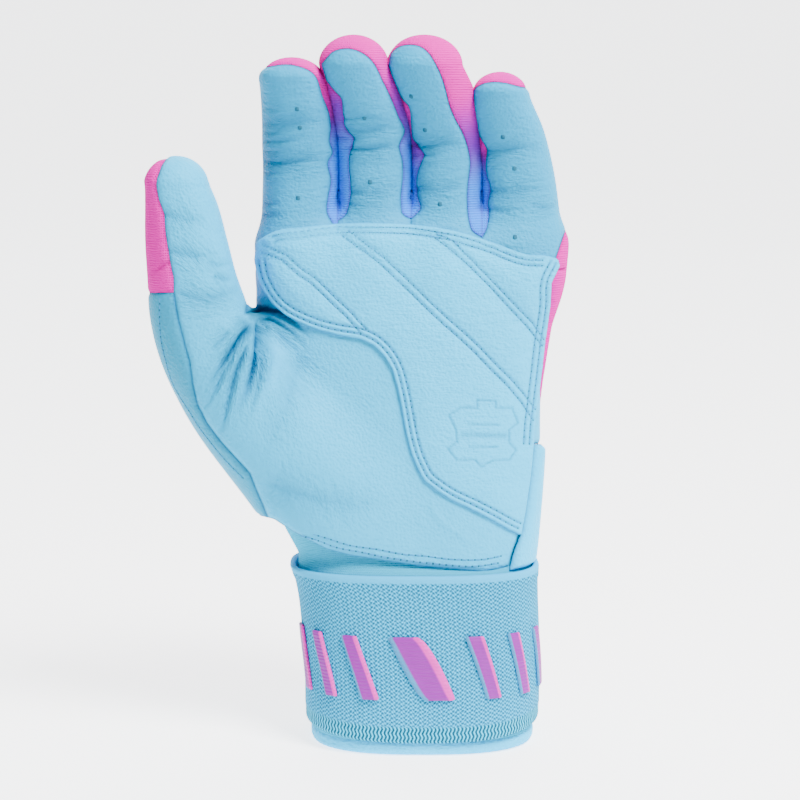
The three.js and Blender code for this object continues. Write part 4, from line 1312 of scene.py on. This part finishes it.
def moulded_look(name, left, middle, right):
    """Satin moulded trim whose colour runs across it from left to right, with a fine ribbed skin."""
    look = Look(name)
    rest = look.vector("rest")
    across = look.number("across")
    first = look.mix(across.step(0.12, 0.2), left, middle)
    colour = look.mix(across.step(0.74, 0.82), first, right)
    fine = look.noise(rest, 3200.0, 2.0, 0.6)
    cloud = look.noise(rest, 90.0)
    worn = (0.5 + (cloud - 0.5) * 1.4).held() * 0.35
    dark = look.mix(worn, colour, tuple(0.5 * part for part in middle))
    _, _, z = look.axes(rest)
    ribs = (z * (2 * math.pi / 0.0011)).sine()
    return look.finish(dark, 0.42 + fine * 0.15, fine * 0.4 + ribs * 0.35, 0.00015, Specular_IOR_Level=0.25)


def pile_look(name, base, low):
    """Loop or hook pile: dense small knobs from cell distances."""
    look = Look(name)
    rest = look.vector("rest")
    knobs = look.cells(rest, 1400.0, "F1")
    cloud = look.noise(rest, 200.0, 3.0, 0.6)
    colour = look.mix((knobs * 0.9 + (cloud - 0.5) * 0.6).held(), base, low)
    return look.finish(colour, 0.9, 1 - knobs, 0.0006, Specular_IOR_Level=0.1)


def thread_look(name, base, low):
    """Sewing thread: two plies laid round each other, with painted shade between them."""
    look = Look(name)
    rest = look.vector("rest")
    x, _, z = look.axes(rest)
    plies = ((x + z) * 16000.0).sine()
    fuzz = look.noise(rest, 4000.0, 2.0, 0.6)
    colour = look.mix((0.35 - plies * 0.3 + (fuzz - 0.5) * 0.4).held(), base, low)
    return look.finish(colour, 0.6 + fuzz * 0.2, plies, 0.00008, Specular_IOR_Level=0.3)


def hole_shade_look(name, deep, rim):
    """A dark disc of painted shade that stands for the shadowed inside of a needle or vent hole."""
    look = Look(name)
    cloud = look.noise(look.vector("rest"), 900.0)
    return look.finish(look.mix(cloud, deep, rim), 0.8 + cloud * 0.1, cloud, 0.0001, Specular_IOR_Level=0.1)


def jersey_look(name, base, low):
    """The cuff's thinner knit, whose loops have one colour."""
    return knit_look(name, base, low, base, stitch=0.0005, depth=0.6)


# Materials: the function that makes each, and the panel's colours that it takes.
LOOKS = {
    "Palm leather": (leather_look, "leather", "leather_shade"),
    "Finger leather": (leather_look, "finger", "finger_shade"),
    "Patch leather": (leather_look, "patch", "patch_shade"),
    "Side leather": (leather_look, "side", "side_shade"),
    "Stretch knit": (knit_look, "pink", "violet", "azure"),
    "Jersey": (jersey_look, "jersey", "jersey_low"),
    "Elastic": (elastic_look, "elastic", "elastic_low", "edge", "dots", "loops"),
    "Pile": (pile_look, "elastic_low", "pile_low"),
    "Slashes": (moulded_look, "bar_left", "bar", "bar_right"),
    "Thread": (thread_look, "thread", "patch_shade"),
    "Holes": (hole_shade_look, "hole", "hole_rim_shade"),
}

# Bends: two bodies and the points of the hand between which a piece would pass from one to the other. Only a
# bend's name is used: a piece held by it is baked in place.
FINGER_BEND = 6.0
BENDS = {
    "crease_bend": ("palm", "knuckles", (0, 0, 140.0), (0, 0, 151.0)),
    "thumb_bend": ("palm", "thumb", (-60, 0, 131), (-70.5, 0, 149.3)),
}
for finger, height in BEND_HEIGHTS.items():
    BENDS[finger + "_bend"] = (
        "knuckles", finger + "_finger", (0, 0, height - FINGER_BEND), (0, 0, height + FINGER_BEND),
    )

# What has been made once and is used by several operators: the palm's skin and borders, and the materials.
MADE = {}


def palm_skin():
    """The net below the fingers and the borders of its panels."""
    if "skin" not in MADE:
        MADE["skin"] = Skin()
        MADE["fields"] = palm_fields(MADE["skin"])
    return MADE["skin"], MADE["fields"]


def material_of(name):
    """The named material, from the panel's colours."""
    if name not in MADE:
        make, *colours = LOOKS[name]
        chosen = bpy.context.scene.glove_colours
        MADE[name] = make(name, *(tuple(getattr(chosen, colour)) for colour in colours))
    return MADE[name]


def paint(thing, material):
    """Gives a mesh its one material."""
    thing.data.materials.clear()
    thing.data.materials.append(material)


def thicken(thing, wall):
    """Gives a panel its wall, inwards, with closed edges."""
    solid = thing.modifiers.new("wall", "SOLIDIFY")
    solid.thickness = wall
    solid.offset = -1.0
    solid.use_rim = True


def dress(piece, look, holder, slot=None, nodes=(), wall=None):
    """Finishes a piece: its wall and its material; where its holder is a bend its place is baked into its
    mesh, else it rides on its holder's body; where a slot is given, the CAD pieces that it stands for are
    hidden."""
    if wall is not None:
        thicken(piece, wall)
    paint(piece, material_of(look))
    if holder in BENDS:
        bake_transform(piece)
    else:
        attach(piece, holder)
    if slot is not None:
        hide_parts(*nodes)


def small_shapes(name, title, places, ways, ups, size):
    """Six-sided capsules of a length, width and height: rings at shares of the length, narrow at both
    ends."""
    length, width, height = size
    turns = 2 * np.pi * np.arange(CAPSULE_SIDES) / CAPSULE_SIDES
    across = np.cross(ways, ups)
    across /= np.linalg.norm(across, axis=1, keepdims=True)
    ups = np.cross(across, ways)
    points = np.stack([
        places + ways * (share * length)
        + across * (math.cos(turn) * ring * width / 2)
        + ups * (math.sin(turn) * ring * height / 2)
        for share, ring in CAPSULE_SHARES for turn in turns
    ], axis=1)
    count = len(CAPSULE_SHARES) * CAPSULE_SIDES
    faces = []
    for ring in range(len(CAPSULE_SHARES) - 1):
        for side in range(CAPSULE_SIDES):
            a, b = ring * CAPSULE_SIDES + side, ring * CAPSULE_SIDES + (side + 1) % CAPSULE_SIDES
            faces += [(a, b, b + CAPSULE_SIDES), (a, b + CAPSULE_SIDES, a + CAPSULE_SIDES)]
    for base, turned in ((0, True), (count - CAPSULE_SIDES, False)):
        for side in range(1, CAPSULE_SIDES - 1):
            triangle = (base, base + side, base + side + 1)
            faces.append(triangle[::-1] if turned else triangle)
    every = (np.array(faces)[None] + (np.arange(len(places)) * count)[:, None, None]).reshape(-1, 3)
    points = points.reshape(-1, 3)
    thing = new_mesh(name, points, every, title)
    set_vector(thing, "rest", points * MM)
    return thing


def sewn(name, title, rows, surface, spacing, size, sink=0.0, hole=False):
    """Stitches, or dark capsules of painted shade for needle holes, along rows of view points: capsules laid
    at equal steps on a surface.
    """
    places, ways, ups = [], [], []
    for row in rows:
        row = np.asarray(row, float)
        total = np.linalg.norm(np.diff(row, axis=0), axis=1).sum()
        count = max(2, int(total / spacing))
        shares = (np.arange(count) + (1.0 if hole else 0.5)) / count
        here, slope = surface(along(row, shares))
        there, _ = surface(along(row, np.minimum(shares + 0.4 / count, 1)))
        back, _ = surface(along(row, np.maximum(shares - 0.4 / count, 0)))
        way = there - back
        way /= np.maximum(np.linalg.norm(way, axis=1, keepdims=True), 1e-6)
        places.append(here - sink * slope)
        ways.append(way)
        ups.append(slope)
    places, ways, ups = (np.concatenate(part) for part in (places, ways, ups))
    return small_shapes(name, title, places, ways, ups, size)


def on_leather(pixels):
    """Points and slopes on the leather where the lines of sight meet it."""
    points = cast(pixels)
    slopes = hand_slope(points)
    relief, _, _ = folds_at(pixels, np.ones(len(pixels)))
    return points + relief[:, None] * slopes, slopes


def on_patch_face(pixels):
    """Points and slopes on the patch's outer face."""
    points, slopes, _ = on_patch(pixels)
    return points, slopes


def length_property(name, description, default, low, high):
    return FloatProperty(
        name=name, description=description, default=default, min=low, max=high, unit="LENGTH",
    )


class GloveSizes(bpy.types.PropertyGroup):
    leather_wall: length_property("Leather Wall", "Thickness of the leather panels", 0.0008, 0.0002, 0.003)
    knit_wall: length_property("Knit Wall", "Thickness of the knit panels", 0.0006, 0.0002, 0.003)
    seam_dip: length_property("Seam Dip", "How far a panel turns in at its seams", 0.00055, 0.0, 0.002)
    stitch_spacing: length_property(
        "Stitch Spacing", "Length from one needle hole to the next", 0.00208, 0.001, 0.006,
    )
    rib_count: IntProperty(
        name="Pull Ribs", description="Number of grip ribs on the tab's end", default=5, min=1, max=5,
    )


def colour_property(name, description, default):
    return FloatVectorProperty(
        name=name, description=description, subtype="COLOR", size=3, min=0.0, max=1.0, default=default,
    )


class GloveColours(bpy.types.PropertyGroup):
    leather: colour_property("Leather", "Sky blue palm leather", (0.0, 0.43, 0.74))
    # Each leather's low colour is painted shade: the same leather darkened in its creases, at its seams and
    # along its wrinkle lines.
    leather_shade: colour_property("Leather Creases", "Palm leather in its creases", (0.0, 0.07, 0.18))
    # The finger fronts' colour is the palm's leather darkened: painted shade where the fingers turn away
    # from the light.
    finger: colour_property("Finger Leather", "Leather of the finger fronts", (0.0, 0.3, 0.54))
    finger_shade: colour_property("Finger Creases", "Finger leather in its creases", (0.0, 0.06, 0.17))
    # The patch's pale colour is partly its own and partly a painted sheen.
    patch: colour_property("Patch", "Pale leather of the palm patch", (0.0, 0.5, 0.86))
    # Painted shade at the patch's edge, in its stitch grooves and stamp, and between the thread's plies.
    patch_shade: colour_property("Patch Seams", "Patch leather along its stitch rows", (0.0, 0.14, 0.3))
    side: colour_property("Side Leather", "Mid blue leather beside the thumb", (0.0, 0.28, 0.47))
    side_shade: colour_property("Side Leather Creases", "The same leather in its creases", (0.0, 0.08, 0.22))
    jersey: colour_property("Jersey", "Thin knit of the cuff", (0.0, 0.4, 0.64))
    jersey_low: colour_property("Jersey Shade", "The cuff between its loops", (0.0, 0.25, 0.44))
    pink: colour_property("Knit Pink", "Back of the hand", (0.68, 0.0, 0.35))
    # The violet is partly the knit's own colour and partly painted shade, darkened for the gaps between the
    # fingers.
    violet: colour_property("Knit Violet", "Between the fingers", (0.16, 0.015, 0.4))
    azure: colour_property("Knit Azure", "At the roots of the fingers", (0.0, 0.21, 0.86))
    elastic: colour_property("Elastic", "Knitted wrist strap", (0.0, 0.36, 0.66))
    elastic_low: colour_property("Elastic Shade", "Strap between its ribs", (0.0, 0.23, 0.46))
    pile_low: colour_property("Pile Shade", "Between the knobs of the pile", (0.01, 0.22, 0.34))
    dots: colour_property("Elastic Dots", "Columns of small dots on the strap", (0.0, 0.07, 0.13))
    edge: colour_property("Strap Edges", "Selvedge and overlocked edge", (0.0, 0.4, 0.72))
    loops: colour_property("Elastic Loops", "Raised bright loops of the strap", (0.0, 0.66, 1.0))
    bar: colour_property("Slashes", "Raised slashes on the strap", (0.24, 0.002, 0.29))
    bar_left: colour_property("Slash Left Edge", "Their light blue edge", (0.0, 0.26, 0.5))
    bar_right: colour_property("Slash Right Edge", "Their pink edge", (0.7, 0.02, 0.4))
    thread: colour_property("Thread", "Sewing thread", (0.0, 0.36, 0.76))
    # The hole colours are painted shade: dark discs stand for the shadowed insides of the needle and vent
    # holes.
    hole: colour_property("Holes", "Inside of the needle and vent holes", (0.004, 0.05, 0.09))
    hole_rim_shade: colour_property("Hole Rims", "Lighter parts of the same holes", (0.02, 0.16, 0.26))


class GLOVE_OT_palm_leather(bpy.types.Operator):
    """Makes the palm leather with the thumb's front, and the leather band over the knuckle crease"""
    bl_idname = "glove.palm_leather"
    bl_label = "Palm Leather"

    def execute(self, context):
        sizes = context.scene.glove_sizes
        skin, fields = palm_skin()
        palm, _ = panel(
            "palm_leather_skin", "Palm leather", skin, fields["palm_leather"], sizes.seam_dip / MM,
        )
        dress(palm, "Palm leather", "thumb_bend", "leather", ("palm_leather", "thumb_leather"),
              sizes.leather_wall)
        knuckle, _ = panel(
            "knuckle_leather_skin", "Knuckle leather", skin, fields["knuckle_leather"], KNUCKLE_LIP,
        )
        dress(knuckle, "Finger leather", "crease_bend", "leather", ("knuckle_leather",), sizes.leather_wall)
        return {"FINISHED"}


class GLOVE_OT_back(bpy.types.Operator):
    """Makes the knit back of the hand and the thumb's knit back"""
    bl_idname = "glove.back"
    bl_label = "Knit Back"

    def execute(self, context):
        wall = context.scene.glove_sizes.knit_wall
        skin, fields = palm_skin()
        back, table = panel("hand_back_knit", "Back of the hand", skin, fields["hand_back"], BACK_LIP)
        x, y, z = table[:, POINT].T
        between = smooth_step(-38, -32, x) * (1 - smooth_step(38, 44, x)) * (1 - smooth_step(4, 12, y))
        set_number(back, "tint", 0.45 * smooth_step(150, 168, z) * between)
        dress(back, "Stretch knit", "crease_bend", "back_fabric", ("hand_back", "knuckle_back"), wall)
        thumb, table = panel("thumb_back_knit", "Back of the thumb", skin, fields["thumb_back"], BACK_LIP)
        set_number(thumb, "tint", np.zeros(len(table)))
        dress(thumb, "Stretch knit", "thumb_bend", "back_fabric", ("thumb_back",), wall)
        return {"FINISHED"}


class GLOVE_OT_side_pieces(bpy.types.Operator):
    """Makes the leather patch beside the thumb and the bound strip on the little-finger side"""
    bl_idname = "glove.side_pieces"
    bl_label = "Side Pieces"

    def execute(self, context):
        wall = context.scene.glove_sizes.leather_wall
        skin, fields = palm_skin()
        patch, _ = panel(
            "thumb_side_leather", "Leather beside the thumb", skin, fields["thumb_side_patch"], BACK_LIP,
        )
        dress(patch, "Side leather", "thumb_bend", "side_leather", ("thumb_side_patch",), wall)
        strip, _ = panel(
            "slit_binding_strip", "Bound strip", skin, fields["slit_binding"], BINDING_LIP, -BINDING_RISE,
        )
        dress(strip, "Patch leather", "palm", "patch_leather", ("slit_binding",), wall)
        return {"FINISHED"}


class GLOVE_OT_fingers(bpy.types.Operator):
    """Makes each finger's leather front, knit sides and knit back"""
    bl_idname = "glove.fingers"
    bl_label = "Fingers"

    def execute(self, context):
        sizes = context.scene.glove_sizes
        for name, gussets in GUSSETS.items():
            title = name.capitalize() + " finger"
            bend = name + "_bend"
            skin = Skin(name)
            fields = finger_fields(skin)
            front, _ = panel(name + "_leather_skin", title + " leather", skin, fields["leather"], FINGER_LIP)
            sides, table = panel(name + "_side_knit", title + " sides", skin, fields["side"], SIDE_LIP)
            set_number(sides, "tint", side_tint(name, table))
            back, table = panel(name + "_back_knit", title + " back", skin, fields["back"], FINGER_LIP)
            set_number(back, "tint", np.full(len(table), 0.05))
            dress(front, "Finger leather", bend, "leather", (name + "_leather",), sizes.leather_wall)
            dress(sides, "Stretch knit", bend, "gusset_fabric", gussets, sizes.knit_wall)
            dress(back, "Stretch knit", bend, "back_fabric", (name + "_back",), sizes.knit_wall)
        return {"FINISHED"}


class GLOVE_OT_patch(bpy.types.Operator):
    """Makes the sewn-on palm patch with its quilted rows"""
    bl_idname = "glove.patch"
    bl_label = "Palm Patch"

    def execute(self, context):
        patch = make_patch("palm_patch_leather")
        dress(patch, "Patch leather", "crease_bend", "patch_leather", ("palm_patch", "palm_patch_top"))
        return {"FINISHED"}


class GLOVE_OT_stitches(bpy.types.Operator):
    """Makes the stitches, and dark capsules of painted shade for the needle holes and the vent holes in the
    finger leathers
    """
    bl_idname = "glove.stitches"
    bl_label = "Stitches"

    def execute(self, context):
        spacing = context.scene.glove_sizes.stitch_spacing / MM / PIXEL
        for name, rows, surface, holder in (
            ("patch", patch_rows(), on_patch_face, "crease_bend"),
            ("palm", [HEM_ROW, HEM_ROW_HIGH, SIDE_ROW], on_leather, "palm"),
        ):
            title = name.capitalize()
            stitches = sewn(name + "_stitches", title + " stitches", rows, surface, spacing, STITCH)
            holes = sewn(
                name + "_holes", title + " needle holes", rows, surface, spacing, NEEDLE_HOLE,
                sink=HOLE_SINK, hole=True,
            )
            dress(stitches, "Thread", holder)
            dress(holes, "Holes", holder)
        for name, places in VENTS.items():
            points, slopes = on_leather(np.array(places, float))
            ways = np.cross(slopes, np.array([1.0, 0, 0]))
            ways /= np.linalg.norm(ways, axis=1, keepdims=True)
            title = name.capitalize() + " finger vents"
            vents = small_shapes(name + "_vents", title, points, ways, slopes, VENT_HOLE)
            dress(vents, "Holes", name + "_bend")
        return {"FINISHED"}


class GLOVE_OT_wrist(bpy.types.Operator):
    """Makes the cuff, its bound rim, the knitted strap and the loop pile"""
    bl_idname = "glove.wrist"
    bl_label = "Wrist"

    def execute(self, context):
        round_angles = np.arange(0, 360, 2.0)
        cuff = band("cuff_jersey", "Cuff", round_angles, **CUFF, closed=True, steps=60, extra=cuff_offset)
        set_number(cuff, "tint", np.zeros(len(cuff.data.vertices)))
        dress(cuff, "Jersey", "palm", "side_leather", ("wrist_cuff",))
        rim = band(
            "cuff_rim_binding", "Cuff rim", round_angles, **RIM, closed=True, steps=10, relief=rim_relief,
        )
        dress(rim, "Patch leather", "palm", "patch_leather", ("cuff_rim",))
        angles = np.arange(STRAP_LAST, STRAP_FIRST + 0.1, BAND_TURN)
        strap = band(
            "wrist_strap_elastic", "Wrist strap", angles, **STRAP, steps=90, relief=strap_relief,
            sag=STRAP_SAG,
        )
        dress(strap, "Elastic", "palm", "elastic", ("wrist_strap",))
        angles = np.arange(LOOP_PILE_START, LOOP_PILE_END + 0.1, BAND_TURN)
        pile = band("loop_pile_strip", "Loop pile", angles, **LOOP_PILE, steps=40)
        dress(pile, "Pile", "palm", "pile", ("loop_pile",))
        return {"FINISHED"}


class GLOVE_OT_closure(bpy.types.Operator):
    """Makes the strap's free end, the hook tab with its pile and the grip ribs"""
    bl_idname = "glove.closure"
    bl_label = "Closure"

    def execute(self, context):
        angles = np.arange(STRAP_LAST + 0.2, FLAP_END, -BAND_TURN)[::-1]
        climb = FLAP_RISE * smooth_step(0, 1, (CLIMB_START - angles) / CLIMB_TURN)
        flap = band(
            "strap_flap_elastic", "Strap's free end", angles, STRAP["low"], STRAP["high"],
            STRAP["inner"] + climb, STRAP["outer"] + climb, steps=90,
        )
        dress(flap, "Elastic", "flap", "elastic", ("strap_flap",))
        angles = np.linspace(TAB_END, FLAP_END + TAB_LAP, 60)
        narrow = TAB_NARROWING * np.clip((FLAP_END - angles) / (FLAP_END - TAB_END), 0, 1) ** 2
        tab = band(
            "hook_tab_leather", "Hook tab", angles, STRAP["low"] + narrow, STRAP["high"] - narrow,
            TAB_INNER, TAB_OUTER, steps=60, relief=tab_relief,
        )
        dress(tab, "Side leather", "tab", "side_leather", ("hook_tab",))
        angles = np.linspace(HOOK_PILE_START, HOOK_PILE_END, 30)
        pile = band("hook_pile_strip", "Hook pile", angles, **HOOK_PILE, steps=40)
        dress(pile, "Pile", "tab", "pile", ("hook_pile",))
        for k in range(context.scene.glove_sizes.rib_count):
            start = TAB_END + RIB_START + RIB_PITCH * k
            angles = np.linspace(start, start + RIB_TURN, 8)
            rib = band(f"pull_rib_bar_{k + 1}", f"Grip rib {k + 1}", angles, **RIB, steps=24)
            set_number(rib, "across", np.full(len(rib.data.vertices), 0.5))
            dress(rib, "Slashes", "tab", "moulded", (f"pull_rib_{k + 1}",))
        return {"FINISHED"}


class GLOVE_OT_slashes(bpy.types.Operator):
    """Makes the seven raised slashes on the palm side of the strap"""
    bl_idname = "glove.slashes"
    bl_label = "Strap Slashes"

    def execute(self, context):
        for k in range(SLASH_COUNT):
            middle = (k - SLASH_COUNT // 2) * SLASH_PITCH
            angles = np.linspace(middle - SLASH_HALF, middle + SLASH_HALF, SLASH_ROWS)
            slash = band(
                f"strap_slash_bar_{k + 1}", f"Strap slash {k + 1}", angles, **SLASH, steps=24,
                lean=SLASH_LEAN,
            )
            rows = np.repeat(np.linspace(0, 1, SLASH_ROWS), len(slash.data.vertices) // SLASH_ROWS)
            set_number(slash, "across", rows)
            dress(slash, "Slashes", "palm", "moulded", (f"strap_slash_{k + 1}",))
        return {"FINISHED"}


# The stage, in metres: the floor runs back from the camera, bends up and ends as a wall.
FLOOR_ROWS, FLOOR_COLUMNS = 60, 40
FLOOR_HALF_WIDTH, FLOOR_FRONT, FLOOR_BACK = 7, -6, 2.0
BEND_RADIUS, WALL_RISE = 1.2, 6
PAPER = (0.66, 0.66, 0.66)
PAPER_GLOW, PAPER_DIM, GLOW_STRENGTH = (0.97, 0.98, 1.0), (0.05, 0.05, 0.05), 3.0
GLOW_START = (-0.12, -0.07)
# Lights: name, place, size in metres and power in watts.
LIGHTS = [
    ("key_light", (0.5, -0.6, 1.1), 0.45, 60.0),
    ("fill_light", (-1.0, -0.9, 0.6), 1.0, 3.0),
    ("back_light", (0.2, 1.1, 1.3), 1.0, 6.0),
]
WORLD_COLOUR, WORLD_STRENGTH = (0.95, 0.97, 1.0, 1.0), 0.3
SENSOR, VIEW_WIDTH = 36.0, 800.0


def stage_look(name):
    """Pale paper that glows behind the glove and stays plain in front of it, out of the view."""
    look = Look(name)
    place = look.node("ShaderNodeTexCoord", 3)
    cloud = look.noise(place, 0.8)
    _, y, _ = look.axes(place)
    tone = look.mix(cloud, PAPER, tuple(0.97 * part for part in PAPER))
    glow = look.mix(y.step(*GLOW_START), PAPER_DIM, PAPER_GLOW)
    return look.finish(
        tone, 0.75, Specular_IOR_Level=0.1, Emission_Color=glow, Emission_Strength=GLOW_STRENGTH,
    )


class GLOVE_OT_stage(bpy.types.Operator):
    """Makes the pale floor, the soft lights and the camera"""
    bl_idname = "glove.stage"
    bl_label = "Stage"

    def execute(self, context):
        scene = context.scene
        u, v = np.linspace(-1, 1, FLOOR_COLUMNS), np.linspace(0, 1, FLOOR_ROWS)
        arc = np.clip((v - 0.5) / 0.25, 0, 1) * np.pi / 2
        level = FLOOR_FRONT + 2 * (FLOOR_BACK - FLOOR_FRONT) * v
        y = np.where(v < 0.5, level, FLOOR_BACK + BEND_RADIUS * np.sin(arc))
        z = BEND_RADIUS * (1 - np.cos(arc)) + np.clip((v - 0.75) / 0.25, 0, 1) * WALL_RISE
        u, y = np.meshgrid(u * FLOOR_HALF_WIDTH, y)
        points = np.stack([u, y, np.repeat(z[:, None], FLOOR_COLUMNS, axis=1)], axis=-1).reshape(-1, 3)
        floor = new_mesh("floor", (points - SHIFT) / MM, grid_faces(FLOOR_ROWS, FLOOR_COLUMNS), "Floor")
        paint(floor, stage_look("Pale paper"))
        target = Vector(to_part((0, 0, TARGET_HEIGHT)))
        for name, place, size, power in LIGHTS:
            light = bpy.data.lights.new(name, "AREA")
            light.size = size
            light.energy = power
            lamp = bpy.data.objects.new(name, light)
            lamp.location = place
            lamp.rotation_euler = (target - Vector(place)).to_track_quat("-Z", "Y").to_euler()
            scene.collection.objects.link(lamp)
        world = bpy.data.worlds.new("Soft room")
        world.use_nodes = True
        background = world.node_tree.nodes["Background"]
        background.inputs[0].default_value = WORLD_COLOUR
        background.inputs[1].default_value = WORLD_STRENGTH
        scene.world = world
        camera = bpy.data.cameras.new("photo_view")
        camera.sensor_width = SENSOR
        camera.lens = FOCAL_PIXELS / VIEW_WIDTH * SENSOR
        camera.clip_start = 0.01
        camera.clip_end = 50.0
        viewer = bpy.data.objects.new("photo_view", camera)
        away = Vector((0, -math.cos(TILT), math.sin(TILT))) * (DISTANCE * MM)
        viewer.location = target + away
        viewer.rotation_euler = (-away).to_track_quat("-Z", "Y").to_euler()
        scene.collection.objects.link(viewer)
        scene.camera = viewer
        return {"FINISHED"}


class GLOVE_PT_panel(bpy.types.Panel):
    """The glove's pieces, sizes and colours"""
    bl_idname = "GLOVE_PT_panel"
    bl_label = "Batting Glove"
    bl_space_type = "VIEW_3D"
    bl_region_type = "UI"
    bl_category = "Glove"

    def draw(self, context):
        column = self.layout.column()
        for operator in OPERATORS:
            column.operator(operator.bl_idname)
        for group in (context.scene.glove_sizes, context.scene.glove_colours):
            box = self.layout.box()
            for name in group.__annotations__:
                box.prop(group, name)


OPERATORS = (
    GLOVE_OT_palm_leather, GLOVE_OT_back, GLOVE_OT_side_pieces, GLOVE_OT_fingers, GLOVE_OT_patch,
    GLOVE_OT_stitches, GLOVE_OT_wrist, GLOVE_OT_closure, GLOVE_OT_slashes, GLOVE_OT_stage,
)
CLASSES = (GloveSizes, GloveColours, *OPERATORS, GLOVE_PT_panel)


def register():
    for kind in CLASSES:
        bpy.utils.register_class(kind)
    bpy.types.Scene.glove_sizes = PointerProperty(type=GloveSizes)
    bpy.types.Scene.glove_colours = PointerProperty(type=GloveColours)


def unregister():
    del bpy.types.Scene.glove_sizes
    del bpy.types.Scene.glove_colours
    for kind in reversed(CLASSES):
        bpy.utils.unregister_class(kind)


def main():
    register()
    for operator in OPERATORS:
        group, name = operator.bl_idname.split(".")
        getattr(getattr(bpy.ops, group), name)()


if __name__ == "__main__":
    main()
